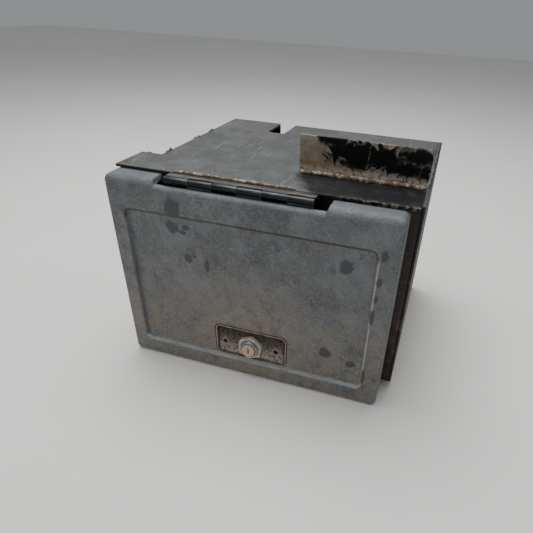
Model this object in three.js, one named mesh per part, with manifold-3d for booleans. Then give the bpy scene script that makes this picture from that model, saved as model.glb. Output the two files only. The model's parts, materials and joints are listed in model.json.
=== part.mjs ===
// Street fire alarm box: a welded steel case with a cast, top-hinged door and a coded
// clockwork movement inside. Millimetres, +Z up, the door faces -Y, the floor is z = 0
// and the origin is the middle of the overall footprint.
import * as THREE from 'three';
import { mergeVertices } from 'three/addons/utils/BufferGeometryUtils.js';
import Module from 'manifold-3d';

const wasm = await Module();
wasm.setup();

// ---------- driving dimensions ----------
const GAP = 0.3;              // clearance between pieces that touch
const SHEET = 2.5;            // case sheet thickness
const FIT = 0.3;              // radial clearance of shafts, screws and barrels

const CASE_WIDTH = 294;
const CASE_DEPTH = 240.6;
const CASE_HEIGHT = 212.7;
const CASE_LEFT = -138;
const CASE_BACK = 141.85;          // puts the origin midway between lock and rear plate
const RUNNER_HEIGHT = 8;
const RUNNER_WIDTH = 22;
const RUNNER_INSET = 20;
const REAR_THICKNESS = 3;
const FRAME_BAR = 22;
const FRAME_THICKNESS = 3;
const FRAME_TO_LOCK = 1.7;         // from the frame's lower bar to the lock's barrel

const DOOR_DEPTH = 34;
const DOOR_OVERHANG_LEFT = 18.2;   // how far the door stands past the case's left side
const DOOR_SHORT_RIGHT = 11.3;     // how far the door stops short of the case's right side
const DOOR_FLOOR_GAP = 0.8;
const DOOR_ABOVE_PIN = 0.6;
const DOOR_WALL = 4.5;
const DOOR_FACE = 6.3;             // thickness of the door's front wall
const DOOR_CORNER = 6;
const DOOR_ROUND = { top: 10, rest: 2.5 };   // radii of the cast front edges
const DOOR_TO_CASE = 3.4;          // space between the door's rim and the case
const PIN_BELOW_CASE_TOP = 0.7;
const PIN_BEHIND_DOOR_FACE = 10;

const PANEL_MARGIN = { left: 16.8, right: 18.9, top: 32.4, bottom: 18.9 };
const PANEL_DEPTH = 2.4;
const PANEL_SLOPE = 4;
const PANEL_CORNER = 9;

const POCKET_WIDTH = 81.5;
const POCKET_HEIGHT = 37.5;
const POCKET_DEPTH = 7;
const POCKET_WALL = 4;
const POCKET_FLOOR = 5;
const POCKET_CORNER = 4;
const POCKET_ABOVE_LOCK = 1.6;     // from the lock's axis up to the pocket's middle
const LOCK_HEIGHT = 41.8;          // lock axis above the floor
const LOCK_OFF_CENTRE = 2.4;       // lock axis right of the door's middle
const LOCK_BARREL_RADIUS = 9.5;
const LOCK_FLANGE = 1.5;           // how far the lock's head stands past its barrel
const LOCK_BARREL_WALL = 1.8;      // from the plug to the outside of the barrel
const LOCK_COLLAR_WALL = 6;        // from the barrel to the corners of the hexagonal collar
const LOCK_NUT_WALL = 3.9;
const LOCK_NUT_THICKNESS = 4;
const LOCK_HEAD_THICKNESS = 3.2;
const LOCK_PLUG_PROUD = 0.8;
const LOCK_COLLAR_SET_OUT = 1.4;   // how far the collar stands ahead of the door's face
const LOCK_PLATE_THICKNESS = 2.7;
const LOCK_PLATE_MARGIN = 1.5;     // from the lock plate's edge to the pocket's wall
const KEYWAY = { width: 1.8, below: 4.2, above: 3.4, depth: 17 };
const LOCK_SCREW_SPACING = 61;
const LOCK_SCREW_DROP = 0.3;
const LOCK_SCREW = { headRadius: 4.4, headThickness: 2.6, socketRadius: 1.9, socketDepth: 1.5 };
const CAM_LENGTH = 27;
const CAM_WIDTH = 13;
const CAM_THICKNESS = 3;
const CAM_NUT_LENGTH = 3;
const CAM_NUT_RADIUS = 5.6;
const PLUG_STUB_RADIUS = 3;

const KNUCKLE_LENGTH = 25.4;
const KNUCKLE_COUNT = 6;
const KNUCKLE_RADIUS = 3.4;
const LEAF_THICKNESS = 1.2;
const DOOR_LEAF_HEIGHT = 22;
const HINGE_PIN_RADIUS = 1.5;
const HINGE_FROM_DOOR_LEFT = 63.3;
const HINGE_NOTCH_DEPTH = 5.6;
const HINGE_NOTCH_SPARE = { left: 8, right: 12.5 };   // open parts of the notch past the hinge's ends
const HINGE_SCREWS = 3;
const SCREW_RADIUS = 1.5;

const STRIP_THICKNESS = 3;
const STRIP_WIDTH = 48;
const STRIP_OVERHANG = 15.3;       // how far the strip stands ahead of the case
const STRIP_SHORT_RIGHT = 3.4;     // the strip stops this far short of the case's right side

const BRACKET_WIDTH = 131.7;
const BRACKET_HEIGHT = 37.7;
const BRACKET_THICKNESS = 3;
const BRACKET_SETBACK = 14;        // from the strip's rear edge to the bracket's face
const BRACKET_END = 3.1;           // from the case's right side
const WELD_HEIGHT = 5;

const NOTCH_WIDTH = 21.8;
const NOTCH_DEPTH = 51;
const NOTCH_FROM_LEFT = 70.1;      // from the case's left side
const NOTCH_DROP = 40;             // how far the cable notch runs down the rear plate
const MOUNT_HOLE_RADIUS = 4.2;
const MOUNT_HOLE_INSET = 32;

const PANEL_STANDOFF = 20;
const RAIL_WIDTH = 12;
const MECH_PANEL_MARGIN = { side: 25, bottom: 26, top: 34.7 };   // to the case's outside faces
const MECH_PANEL_THICKNESS = 3;

const GEAR_MODULE = 1;
const GREAT_TEETH = 60;
const CENTRE_TEETH = 48;
const PINION_TEETH = 12;
const ARBOR_RADIUS = 2;
const MOVEMENT_WIDTH = 124;
const MOVEMENT_HEIGHT = 104;
const MOVEMENT_SPACE = 35;         // inside distance between the two movement plates
const MOVEMENT_PLATE = 2.4;
const MOVEMENT_TO_PANEL = 12;
const PILLAR_RADIUS = 4;
const BARREL_RADIUS = 21;
const CODE_WHEEL_RADIUS = 21;
const CODE_NOTCHES = [0, 1, 2, 5, 6, 9, 10, 11];   // places out of sixteen that are cut away

const LEVER = { width: 12, reach: 90, thickness: 3, standOff: 5, gripRadius: 9, gripLength: 14 };
const LEVER_SPRING = { wire: 2, turnsLength: 4.2, legLength: 16 };

const CONTACT = {
  reach: 16,
  blockWidth: 24,
  blockHeight: 18,
  blockDepth: 12,
  fingerAbove: 4,
  nibAbove: 0.8,
  nibWidth: 3,
  blade: 1,
  opening: 2.4,
};

const GONG_RADIUS = 34;
const GONG_DEPTH = 14;
const GONG_WALL = 1.8;
const GONG_STAND_OFF = 16;         // from the gong's rim to the mechanism panel
const GONG_MARGIN = { side: 8, top: 2 };
const GONG_POST_RADIUS = 3;
const HAMMER = { strikeBelow: 24, pivotBelowGong: 56, rodRadius: 1.2, armature: 34, depth: 14 };
const HAMMER_BALL_RADIUS = 4;
const HAMMER_GAP = 2.6;            // from the ball to the gong at rest
const ARMATURE_THICKNESS = 3;
const CORE_GAP = 1.4;              // from the armature to the coil cores
const COIL_RADIUS = 9;
const COIL_LENGTH = 30;
const COIL_CORE_RADIUS = 3;
const YOKE_THICKNESS = 4;
const LINE_TERMINALS = 2;
const SERVICE_ROW = { above: 6, height: 18 };   // key and terminals, over the panel's lower edge
const KEY = {
  left: -24,
  length: 68,
  baseDepth: 8,
  pinStandOff: 14,
  leverThickness: 4,
  leverHeight: 8,
  saddle: 8,
  knobRadius: 8,
  knobHeight: 10,
  ear: 3,
};
const TERMINALS = { left: 20, length: 68, depth: 16, headRadius: 4.5, headThickness: 3 };

// ---------- places worked out from them ----------
const caseRight = CASE_LEFT + CASE_WIDTH;
const caseFront = CASE_BACK - CASE_DEPTH;
const caseBottom = RUNNER_HEIGHT;
const caseTop = caseBottom + CASE_HEIGHT;
const sideBottom = caseBottom + SHEET + GAP;
const sideTop = caseTop - SHEET - GAP;
const rearFace = CASE_BACK - REAR_THICKNESS;

const doorLeft = CASE_LEFT - DOOR_OVERHANG_LEFT;
const doorRight = caseRight - DOOR_SHORT_RIGHT;
const doorRear = caseFront - DOOR_TO_CASE;
const doorFront = doorRear - DOOR_DEPTH;
const doorBottom = DOOR_FLOOR_GAP;
const pinZ = caseTop - PIN_BELOW_CASE_TOP;
const pinY = doorFront + PIN_BEHIND_DOOR_FACE;
const doorTop = pinZ + DOOR_ABOVE_PIN;
const doorInside = doorFront + DOOR_FACE;

const hingeLeft = doorLeft + HINGE_FROM_DOOR_LEFT;
const hingeRight = hingeLeft + KNUCKLE_LENGTH * KNUCKLE_COUNT;

const stripFront = caseFront - STRIP_OVERHANG;
const stripRear = stripFront + STRIP_WIDTH;
const stripLeft = doorLeft;
const stripRight = caseRight - STRIP_SHORT_RIGHT;
const stripBottom = caseTop + GAP;
const stripTop = stripBottom + STRIP_THICKNESS;

const bracketFront = stripRear + BRACKET_SETBACK;
const bracketRight = caseRight - BRACKET_END;
const bracketLeft = bracketRight - BRACKET_WIDTH;

const lockX = (doorLeft + doorRight) / 2 + LOCK_OFF_CENTRE;
const pocketZ = LOCK_HEIGHT + POCKET_ABOVE_LOCK;
const pocketFloor = doorFront + POCKET_DEPTH;
const pocketBack = pocketFloor + POCKET_FLOOR;
const lockPlateFront = pocketFloor - GAP - LOCK_PLATE_THICKNESS;
const camFront = caseFront + FRAME_THICKNESS + 1.5;
const camBack = camFront + CAM_THICKNESS;
const lockHeadRadius = LOCK_BARREL_RADIUS + LOCK_FLANGE;
const lockPlugRadius = LOCK_BARREL_RADIUS - LOCK_BARREL_WALL;

const panelFront = rearFace - PANEL_STANDOFF - MECH_PANEL_THICKNESS;
const panelBack = rearFace - PANEL_STANDOFF;
const panelCentreX = (CASE_LEFT + caseRight) / 2;
const panelLeft = CASE_LEFT + MECH_PANEL_MARGIN.side;
const panelRight = caseRight - MECH_PANEL_MARGIN.side;
const panelBase = caseBottom + MECH_PANEL_MARGIN.bottom;
const panelTop = caseTop - MECH_PANEL_MARGIN.top;

const movementLeft = panelLeft + 8;
const movementBase = panelTop - MOVEMENT_HEIGHT - 6;
const backPlateRear = panelFront - MOVEMENT_TO_PANEL;
const backPlateFront = backPlateRear - MOVEMENT_PLATE;
const frontPlateRear = backPlateFront - MOVEMENT_SPACE;
const frontPlateFront = frontPlateRear - MOVEMENT_PLATE;

// ---------- materials ----------
const finish = (color, metalness, roughness) =>
  new THREE.MeshStandardMaterial({ color, metalness, roughness });

const paint = {
  case: [0x5d6061, 0.3, 0.7],
  casting: [0x6b7075, 0.5, 0.6],
  hinge: [0x22272c, 0.5, 0.5],
  rusty: [0x75614c, 0.3, 0.9],
  weld: [0x8c7a66, 0.2, 0.9],
  lockPlate: [0x2a2824, 0.3, 0.8],
  lock: [0xb9bcc0, 0.9, 0.3],
  collar: [0xa99a80, 0.6, 0.6],
  brass: [0xb08a45, 0.9, 0.4],
  steel: [0x9a9da0, 0.9, 0.4],
  fibre: [0x2b1f1a, 0, 0.7],
  copper: [0x8a3d22, 0.6, 0.5],
};

// ---------- geometry helpers ----------
function orientedGeometry(geometry) {
  const bare = geometry.clone();
  bare.deleteAttribute('normal');
  bare.deleteAttribute('uv');
  bare.clearGroups();
  const merged = mergeVertices(bare, 1e-4);
  const index = Array.from(merged.index.array);
  const place = merged.attributes.position;
  const corner = [new THREE.Vector3(), new THREE.Vector3(), new THREE.Vector3()];
  const kept = [];
  let volume = 0;
  for (let i = 0; i < index.length; i += 3) {
    const [a, b, c] = index.slice(i, i + 3);
    if (a === b || b === c || c === a) continue;
    corner[0].fromBufferAttribute(place, a);
    corner[1].fromBufferAttribute(place, b);
    corner[2].fromBufferAttribute(place, c);
    volume += corner[0].dot(corner[1].clone().cross(corner[2]));
    kept.push(a, b, c);
  }
  const facingOut = volume > 0 ? kept : kept.reverse();
  merged.setIndex(facingOut);
  return merged;
}

function solid(geometry) {
  const ready = orientedGeometry(geometry);
  return new wasm.Manifold(new wasm.Mesh({
    numProp: 3,
    vertProperties: new Float32Array(ready.attributes.position.array),
    triVerts: new Uint32Array(ready.index.array),
  }));
}

function geometryOf(shape) {
  const mesh = shape.getMesh();
  const geometry = new THREE.BufferGeometry();
  const places = new THREE.BufferAttribute(new Float32Array(mesh.vertProperties), 3);
  geometry.setAttribute('position', places);
  geometry.setIndex(Array.from(mesh.triVerts));
  geometry.computeVertexNormals();
  return geometry;
}

function block([x0, x1], [y0, y1], [z0, z1]) {
  const geometry = new THREE.BoxGeometry(x1 - x0, y1 - y0, z1 - z0);
  geometry.translate((x0 + x1) / 2, (y0 + y1) / 2, (z0 + z1) / 2);
  return solid(geometry);
}

// A round bar along Y whose axis passes through (x, z).
function rodY(radius, [y0, y1], [x, z], sides = 20) {
  const geometry = new THREE.CylinderGeometry(radius, radius, y1 - y0, sides);
  geometry.translate(x, (y0 + y1) / 2, z);
  return solid(geometry);
}

function rodX(radius, [x0, x1], [y, z], sides = 20) {
  const geometry = new THREE.CylinderGeometry(radius, radius, x1 - x0, sides);
  geometry.rotateZ(Math.PI / 2);
  geometry.translate((x0 + x1) / 2, y, z);
  return solid(geometry);
}

function rodZ(radius, [z0, z1], [x, y], sides = 20) {
  const geometry = new THREE.CylinderGeometry(radius, radius, z1 - z0, sides);
  geometry.rotateX(Math.PI / 2);
  geometry.translate(x, y, (z0 + z1) / 2);
  return solid(geometry);
}

// An outline drawn in X and Z, pushed from y0 to y1. A bevel rounds both ends inwards.
function pushY(shape, [y0, y1], bevel = { size: 0, depth: 0, steps: 0 }, curveSegments = 6) {
  const geometry = new THREE.ExtrudeGeometry(shape, {
    depth: y1 - y0 - 2 * bevel.depth,
    bevelEnabled: bevel.size > 0,
    bevelSize: bevel.size,
    bevelOffset: -bevel.size,
    bevelThickness: bevel.depth,
    bevelSegments: bevel.steps,
    curveSegments,
  });
  geometry.rotateX(Math.PI / 2);
  geometry.translate(0, y1 - bevel.depth, 0);
  return solid(geometry);
}

// An outline drawn in Y and Z, pushed from x0 to x1.
function pushX(points, [x0, x1]) {
  const shape = new THREE.Shape(points.map(([y, z]) => new THREE.Vector2(y, z)));
  const geometry = new THREE.ExtrudeGeometry(shape, { depth: x1 - x0, bevelEnabled: false });
  geometry.rotateX(Math.PI / 2);
  geometry.rotateZ(Math.PI / 2);
  geometry.translate(x0, 0, 0);
  return solid(geometry);
}

// An outline drawn in X and Y, pushed from z0 to z1.
function pushZ(points, [z0, z1]) {
  const shape = new THREE.Shape(points.map(([x, y]) => new THREE.Vector2(x, y)));
  const geometry = new THREE.ExtrudeGeometry(shape, { depth: z1 - z0, bevelEnabled: false });
  geometry.translate(0, 0, z0);
  return solid(geometry);
}

// A slab's profile, in depth and one other direction, with its two front edges rounded.
function roundedFront([front, rear], [low, high], [lowRadius, highRadius], steps = 6) {
  const points = [[rear, low], [rear, high]];
  for (let i = 0; i <= steps; i += 1) {
    const angle = (i / steps) * (Math.PI / 2);
    points.push([
      front + highRadius - highRadius * Math.sin(angle),
      high - highRadius + highRadius * Math.cos(angle),
    ]);
  }
  for (let i = 0; i <= steps; i += 1) {
    const angle = (i / steps) * (Math.PI / 2);
    points.push([
      front + lowRadius - lowRadius * Math.cos(angle),
      low + lowRadius - lowRadius * Math.sin(angle),
    ]);
  }
  return points;
}

function roundedOutline([x0, x1], [z0, z1], radius) {
  const shape = new THREE.Shape();
  shape.moveTo(x0 + radius, z0);
  shape.lineTo(x1 - radius, z0);
  shape.absarc(x1 - radius, z0 + radius, radius, -Math.PI / 2, 0);
  shape.lineTo(x1, z1 - radius);
  shape.absarc(x1 - radius, z1 - radius, radius, 0, Math.PI / 2);
  shape.lineTo(x0 + radius, z1);
  shape.absarc(x0 + radius, z1 - radius, radius, Math.PI / 2, Math.PI);
  shape.lineTo(x0, z0 + radius);
  shape.absarc(x0 + radius, z0 + radius, radius, Math.PI, Math.PI * 1.5);
  return shape;
}

function polygonOutline(radius, sides, [x, z], turn = 0) {
  const shape = new THREE.Shape();
  for (let i = 0; i < sides; i += 1) {
    const angle = turn + (i / sides) * Math.PI * 2;
    const point = [x + radius * Math.cos(angle), z + radius * Math.sin(angle)];
    if (i === 0) shape.moveTo(...point);
    else shape.lineTo(...point);
  }
  shape.closePath();
  return shape;
}

// ---------- the scene graph ----------
const box = new THREE.Group();

function piece(name, shape, coat) {
  const mesh = new THREE.Mesh(geometryOf(shape), finish(...coat));
  mesh.name = name;
  box.add(mesh);
}

// ---------- case ----------
function buildCase() {
  const notchX = [CASE_LEFT + NOTCH_FROM_LEFT, CASE_LEFT + NOTCH_FROM_LEFT + NOTCH_WIDTH];
  const notchY = [CASE_BACK - NOTCH_DEPTH, CASE_BACK + 1];
  const notch = block(notchX, notchY, [caseTop - NOTCH_DROP, caseTop + 1]);
  const width = [CASE_LEFT, caseRight];
  const top = block(width, [caseFront, CASE_BACK], [caseTop - SHEET, caseTop]);
  piece('top_plate', top.subtract(notch), paint.case);

  const sideY = [caseFront, rearFace - GAP];
  piece('bottom_plate', block(width, sideY, [caseBottom, caseBottom + SHEET]), paint.case);
  const sideZ = [sideBottom, sideTop];
  piece('left_side_plate', block([CASE_LEFT, CASE_LEFT + SHEET], sideY, sideZ), paint.case);
  piece('right_side_plate', block([caseRight - SHEET, caseRight], sideY, sideZ), paint.case);

  let rear = block(width, [rearFace, CASE_BACK], [caseBottom, sideTop]).subtract(notch);
  for (const x of [CASE_LEFT + MOUNT_HOLE_INSET, caseRight - MOUNT_HOLE_INSET]) {
    for (const z of [caseBottom + MOUNT_HOLE_INSET, caseTop - MOUNT_HOLE_INSET]) {
      rear = rear.subtract(rodY(MOUNT_HOLE_RADIUS, [rearFace - 1, CASE_BACK + 1], [x, z], 12));
    }
  }
  piece('rear_plate', rear, paint.case);

  const frameX = [CASE_LEFT + SHEET + GAP, caseRight - SHEET - GAP];
  const frame = block(frameX, [caseFront, caseFront + FRAME_THICKNESS], sideZ);
  const mouth = block(
    [frameX[0] + FRAME_BAR, frameX[1] - FRAME_BAR],
    [caseFront - 1, caseFront + FRAME_THICKNESS + 1],
    [LOCK_HEIGHT - LOCK_BARREL_RADIUS - FRAME_TO_LOCK, sideZ[1] - FRAME_BAR],
  );
  piece('front_frame', frame.subtract(mouth), paint.case);

  const runnerY = [caseFront + 6, CASE_BACK - 9];
  const runnerZ = [0, RUNNER_HEIGHT - GAP];
  const leftRunner = [CASE_LEFT + RUNNER_INSET, CASE_LEFT + RUNNER_INSET + RUNNER_WIDTH];
  const rightRunner = [caseRight - RUNNER_INSET - RUNNER_WIDTH, caseRight - RUNNER_INSET];
  piece('base_runner_left', block(leftRunner, runnerY, runnerZ), paint.case);
  piece('base_runner_right', block(rightRunner, runnerY, runnerZ), paint.case);
}

// ---------- top strip and upright bracket ----------
function buildStripAndBracket() {
  const strip = block([stripLeft, stripRight], [stripFront, stripRear], [stripBottom, stripTop]);
  piece('front_strip', strip, paint.case);

  const bracketZ = [stripBottom, stripBottom + BRACKET_HEIGHT];
  const bracketY = [bracketFront, bracketFront + BRACKET_THICKNESS];
  piece('upright_bracket', block([bracketLeft, bracketRight], bracketY, bracketZ), paint.rusty);

  const fillet = [
    [stripRear + GAP, stripBottom],
    [bracketFront - GAP, stripBottom],
    [bracketFront - GAP, stripBottom + WELD_HEIGHT],
    [bracketFront - BRACKET_SETBACK / 2, stripBottom + WELD_HEIGHT / 2],
  ];
  piece('bracket_weld', pushX(fillet, [bracketLeft, bracketRight - 1]), paint.weld);

  const bead = [
    [stripFront + 0.2, stripTop + GAP],
    [stripFront + 3, stripTop + GAP],
    [stripFront + 2.4, stripTop + 1.3],
    [stripFront + 0.8, stripTop + 1.3],
  ];
  piece('hinge_weld', pushX(bead, [hingeLeft + 3, hingeRight - 22]), paint.weld);
}

// ---------- continuous hinge ----------
function knuckleSpan(index) {
  const start = hingeLeft + index * KNUCKLE_LENGTH;
  return [start + GAP / 2, start + KNUCKLE_LENGTH - GAP / 2];
}

function hingeLeaf(leaf, ownParity) {
  let shape = leaf;
  for (let i = 0; i < KNUCKLE_COUNT; i += 1) {
    const span = knuckleSpan(i);
    const mine = i % 2 === ownParity;
    const relief = [span[0] - GAP, span[1] + GAP];
    if (mine) shape = shape.add(rodX(KNUCKLE_RADIUS, span, [pinY, pinZ], 16));
    else shape = shape.subtract(rodX(KNUCKLE_RADIUS + FIT, relief, [pinY, pinZ], 16));
  }
  return shape.subtract(rodX(HINGE_PIN_RADIUS + FIT, [hingeLeft - 1, hingeRight + 1], [pinY, pinZ], 12));
}

function hingeScrewPlaces() {
  const pitch = (hingeRight - hingeLeft) / HINGE_SCREWS;
  return Array.from({ length: HINGE_SCREWS }, (_, i) => [
    hingeLeft + pitch * (i + 0.5),
    pinZ - DOOR_LEAF_HEIGHT * 0.62,
  ]);
}

function buildHinge() {
  const length = [hingeLeft, hingeRight];
  const topLeaf = block(
    length,
    [pinY, stripFront - GAP],
    [pinZ + KNUCKLE_RADIUS - LEAF_THICKNESS, pinZ + KNUCKLE_RADIUS],
  );
  piece('hinge_top_leaf', hingeLeaf(topLeaf, 0), paint.hinge);

  const leafY = [pinY - KNUCKLE_RADIUS, pinY - KNUCKLE_RADIUS + LEAF_THICKNESS];
  let doorLeaf = hingeLeaf(block(length, leafY, [pinZ - DOOR_LEAF_HEIGHT, pinZ]), 1);
  for (const place of hingeScrewPlaces()) {
    doorLeaf = doorLeaf.subtract(rodY(SCREW_RADIUS + FIT, [leafY[0] - 1, leafY[1] + 1], place, 12));
  }
  piece('hinge_door_leaf', doorLeaf, paint.hinge);
  piece('hinge_pin', rodX(HINGE_PIN_RADIUS, length, [pinY, pinZ], 12), paint.hinge);

  hingeScrewPlaces().forEach((place, i) => {
    const shank = rodY(SCREW_RADIUS, [doorInside - 3.5, leafY[1] + 0.5], place, 12);
    const head = rodY(SCREW_RADIUS * 2, [leafY[1] + GAP, leafY[1] + GAP + 1.8], place, 12);
    piece(`hinge_screw_${i + 1}`, shank.add(head), paint.steel);
  });
}

// ---------- cast door ----------
function lockScrewPlaces() {
  const z = pocketZ - LOCK_SCREW_DROP;
  return [[lockX - LOCK_SCREW_SPACING / 2, z], [lockX + LOCK_SCREW_SPACING / 2, z]];
}

function buildDoor() {
  const outline = roundedOutline([doorLeft, doorRight], [doorBottom, doorTop], DOOR_CORNER);
  const depth = [doorFront, doorRear];
  const fromSide = roundedFront(depth, [doorBottom, doorTop], [DOOR_ROUND.rest, DOOR_ROUND.top]);
  const sideRounds = [DOOR_ROUND.rest, DOOR_ROUND.rest];
  const fromAbove = roundedFront(depth, [doorLeft, doorRight], sideRounds).map(([y, x]) => [x, y]);
  const slab = pushY(outline, depth, undefined, 4)
    .intersect(pushX(fromSide, [doorLeft - 1, doorRight + 1]))
    .intersect(pushZ(fromAbove, [doorBottom - 1, doorTop + 1]));
  const cavityOutline = roundedOutline(
    [doorLeft + DOOR_WALL, doorRight - DOOR_WALL],
    [doorBottom + DOOR_WALL, doorTop - DOOR_WALL],
    DOOR_CORNER - DOOR_WALL,
  );
  const cavity = pushY(cavityOutline, [doorInside, doorRear + 1], undefined, 6);

  const pocketX = [lockX - POCKET_WIDTH / 2, lockX + POCKET_WIDTH / 2];
  const pocketSpan = [pocketZ - POCKET_HEIGHT / 2, pocketZ + POCKET_HEIGHT / 2];
  const boss = block(
    [pocketX[0] - POCKET_WALL, pocketX[1] + POCKET_WALL],
    [doorInside - 1, pocketBack],
    [pocketSpan[0] - POCKET_WALL, pocketSpan[1] + POCKET_WALL],
  );
  const pocketOutline = roundedOutline(pocketX, pocketSpan, POCKET_CORNER);
  const pocket = pushY(pocketOutline, [doorFront - 1, pocketFloor], undefined, 3);

  const recessOutline = roundedOutline(
    [doorLeft + PANEL_MARGIN.left, doorRight - PANEL_MARGIN.right],
    [doorBottom + PANEL_MARGIN.bottom, doorTop - PANEL_MARGIN.top],
    PANEL_CORNER,
  );
  const recessY = [doorFront - 2 * PANEL_DEPTH, doorFront + PANEL_DEPTH];
  const recess = pushY(recessOutline, recessY, { size: PANEL_SLOPE, depth: PANEL_DEPTH, steps: 1 }, 5);

  const hingeNotch = block(
    [hingeLeft - HINGE_NOTCH_SPARE.left, hingeRight + HINGE_NOTCH_SPARE.right],
    [doorFront - 1, doorRear + 1],
    [doorTop - HINGE_NOTCH_DEPTH, doorTop + 1],
  );

  let door = slab.subtract(cavity).add(boss).subtract(pocket).subtract(recess);
  door = door.subtract(hingeNotch);
  const lockAxis = [lockX, LOCK_HEIGHT];
  door = door.subtract(rodY(LOCK_BARREL_RADIUS + FIT, [doorFront - 1, pocketBack + 1], lockAxis, 24));
  for (const place of lockScrewPlaces()) {
    door = door.subtract(rodY(SCREW_RADIUS + FIT, [pocketFloor - 1, pocketBack + 1], place, 12));
  }
  for (const place of hingeScrewPlaces()) {
    door = door.subtract(rodY(SCREW_RADIUS + FIT, [doorInside - 4, doorInside + 1], place, 12));
  }
  piece('door_casting', door, paint.casting);
}

// ---------- door lock ----------
function buildLock() {
  const axis = [lockX, LOCK_HEIGHT];
  const through = rodY(LOCK_BARREL_RADIUS + FIT, [doorFront - 20, doorRear + 60], axis, 24);

  const plateHalf = [POCKET_WIDTH / 2 - LOCK_PLATE_MARGIN, POCKET_HEIGHT / 2 - LOCK_PLATE_MARGIN];
  const plateOutline = roundedOutline(
    [lockX - plateHalf[0], lockX + plateHalf[0]],
    [pocketZ - plateHalf[1], pocketZ + plateHalf[1]],
    POCKET_CORNER - 1,
  );
  const plateY = [lockPlateFront, lockPlateFront + LOCK_PLATE_THICKNESS];
  let plate = pushY(plateOutline, plateY, undefined, 3);
  plate = plate.subtract(through);
  for (const place of lockScrewPlaces()) {
    plate = plate.subtract(rodY(SCREW_RADIUS + FIT, [doorFront - 1, pocketFloor + 1], place, 12));
  }
  piece('lock_plate', plate, paint.lockPlate);

  lockScrewPlaces().forEach((place, i) => {
    const shank = rodY(SCREW_RADIUS, [lockPlateFront - 1, pocketBack], place, 12);
    const headBack = lockPlateFront - GAP;
    const headFront = headBack - LOCK_SCREW.headThickness;
    const head = rodY(LOCK_SCREW.headRadius, [headFront, headBack], place, 16);
    const socketOutline = polygonOutline(LOCK_SCREW.socketRadius, 6, place);
    const socket = pushY(socketOutline, [headFront - 1, headFront + LOCK_SCREW.socketDepth]);
    piece(`lock_screw_${i + 1}`, shank.add(head).subtract(socket), paint.steel);
  });

  const collarBack = lockPlateFront - GAP;
  const collarFront = doorFront - LOCK_COLLAR_SET_OUT;
  const hexagon = polygonOutline(LOCK_BARREL_RADIUS + LOCK_COLLAR_WALL, 6, axis, Math.PI / 9);
  piece('lock_collar', pushY(hexagon, [collarFront, collarBack]).subtract(through), paint.collar);

  const headBack = collarFront - GAP;
  const headFront = headBack - LOCK_HEAD_THICKNESS;
  const barrelBack = camFront - 2;
  const plugBore = rodY(lockPlugRadius + FIT, [headFront - 1, barrelBack + 1], axis, 24);
  const head = rodY(lockHeadRadius, [headFront, headBack], axis, 28);
  const barrel = rodY(LOCK_BARREL_RADIUS, [headBack - 1, barrelBack], axis, 24);
  piece('lock_housing', head.add(barrel).subtract(plugBore), paint.lock);

  const plugFront = headFront - LOCK_PLUG_PROUD;
  const plug = rodY(lockPlugRadius, [plugFront, camFront - GAP], axis, 24);
  const stub = rodY(PLUG_STUB_RADIUS, [camFront - 1, camBack + GAP + CAM_NUT_LENGTH], axis, 12);
  const keyway = block(
    [lockX - KEYWAY.width / 2, lockX + KEYWAY.width / 2],
    [plugFront - 1, plugFront + KEYWAY.depth],
    [LOCK_HEIGHT - KEYWAY.below, LOCK_HEIGHT + KEYWAY.above],
  );
  piece('lock_plug', plug.add(stub).subtract(keyway), paint.collar);

  const nutY = [pocketBack + GAP, pocketBack + GAP + LOCK_NUT_THICKNESS];
  const nut = pushY(polygonOutline(LOCK_BARREL_RADIUS + LOCK_NUT_WALL, 6, axis), nutY);
  piece('lock_nut', nut.subtract(through), paint.steel);

  const tip = lockX + CAM_LENGTH;
  const camOutline = roundedOutline(
    [lockX - CAM_WIDTH / 2, tip],
    [LOCK_HEIGHT - CAM_WIDTH / 2, LOCK_HEIGHT + CAM_WIDTH / 2],
    CAM_WIDTH / 2 - 0.1,
  );
  const stubHole = rodY(PLUG_STUB_RADIUS + FIT, [camFront - 1, camBack + 10], axis, 12);
  piece('lock_cam', pushY(camOutline, [camFront, camBack], undefined, 4).subtract(stubHole), paint.steel);
  const camNutY = [camBack + GAP, camBack + GAP + CAM_NUT_LENGTH];
  const camNut = pushY(polygonOutline(CAM_NUT_RADIUS, 6, axis), camNutY);
  piece('cam_nut', camNut.subtract(stubHole), paint.steel);
}

// ---------- mechanism panel ----------
function buildMechanismPanel() {
  const panel = block([panelLeft, panelRight], [panelFront, panelBack], [panelBase, panelTop]);
  piece('mechanism_panel', panel, paint.lockPlate);
  const railY = [panelBack + GAP, rearFace - GAP];
  const railZ = [panelBase + 6, panelTop - 6];
  const leftRail = [panelLeft + RAIL_WIDTH / 2, panelLeft + RAIL_WIDTH * 1.5];
  const rightRail = [panelRight - RAIL_WIDTH * 1.5, panelRight - RAIL_WIDTH / 2];
  piece('panel_rail_left', block(leftRail, railY, railZ), paint.case);
  piece('panel_rail_right', block(rightRail, railY, railZ), paint.case);
}

// ---------- clockwork movement ----------
// A wheel's outline; one tooth points along the angle `toothAngle`, in radians.
function wheelOutline(teeth, toothAngle, [x, z]) {
  const pitchRadius = (teeth * GEAR_MODULE) / 2;
  const tip = pitchRadius + 0.8 * GEAR_MODULE;
  const root = pitchRadius - 1.15 * GEAR_MODULE;
  const pitch = (Math.PI * 2) / teeth;
  const corners = [[root, -0.3], [tip, -0.1], [tip, 0.1], [root, 0.3]];
  const shape = new THREE.Shape();
  for (let i = 0; i < teeth; i += 1) {
    corners.forEach(([radius, share], k) => {
      const angle = toothAngle + (i + share) * pitch;
      const point = [x + radius * Math.cos(angle), z + radius * Math.sin(angle)];
      if (i === 0 && k === 0) shape.moveTo(...point);
      else shape.lineTo(...point);
    });
  }
  shape.closePath();
  return shape;
}

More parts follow.
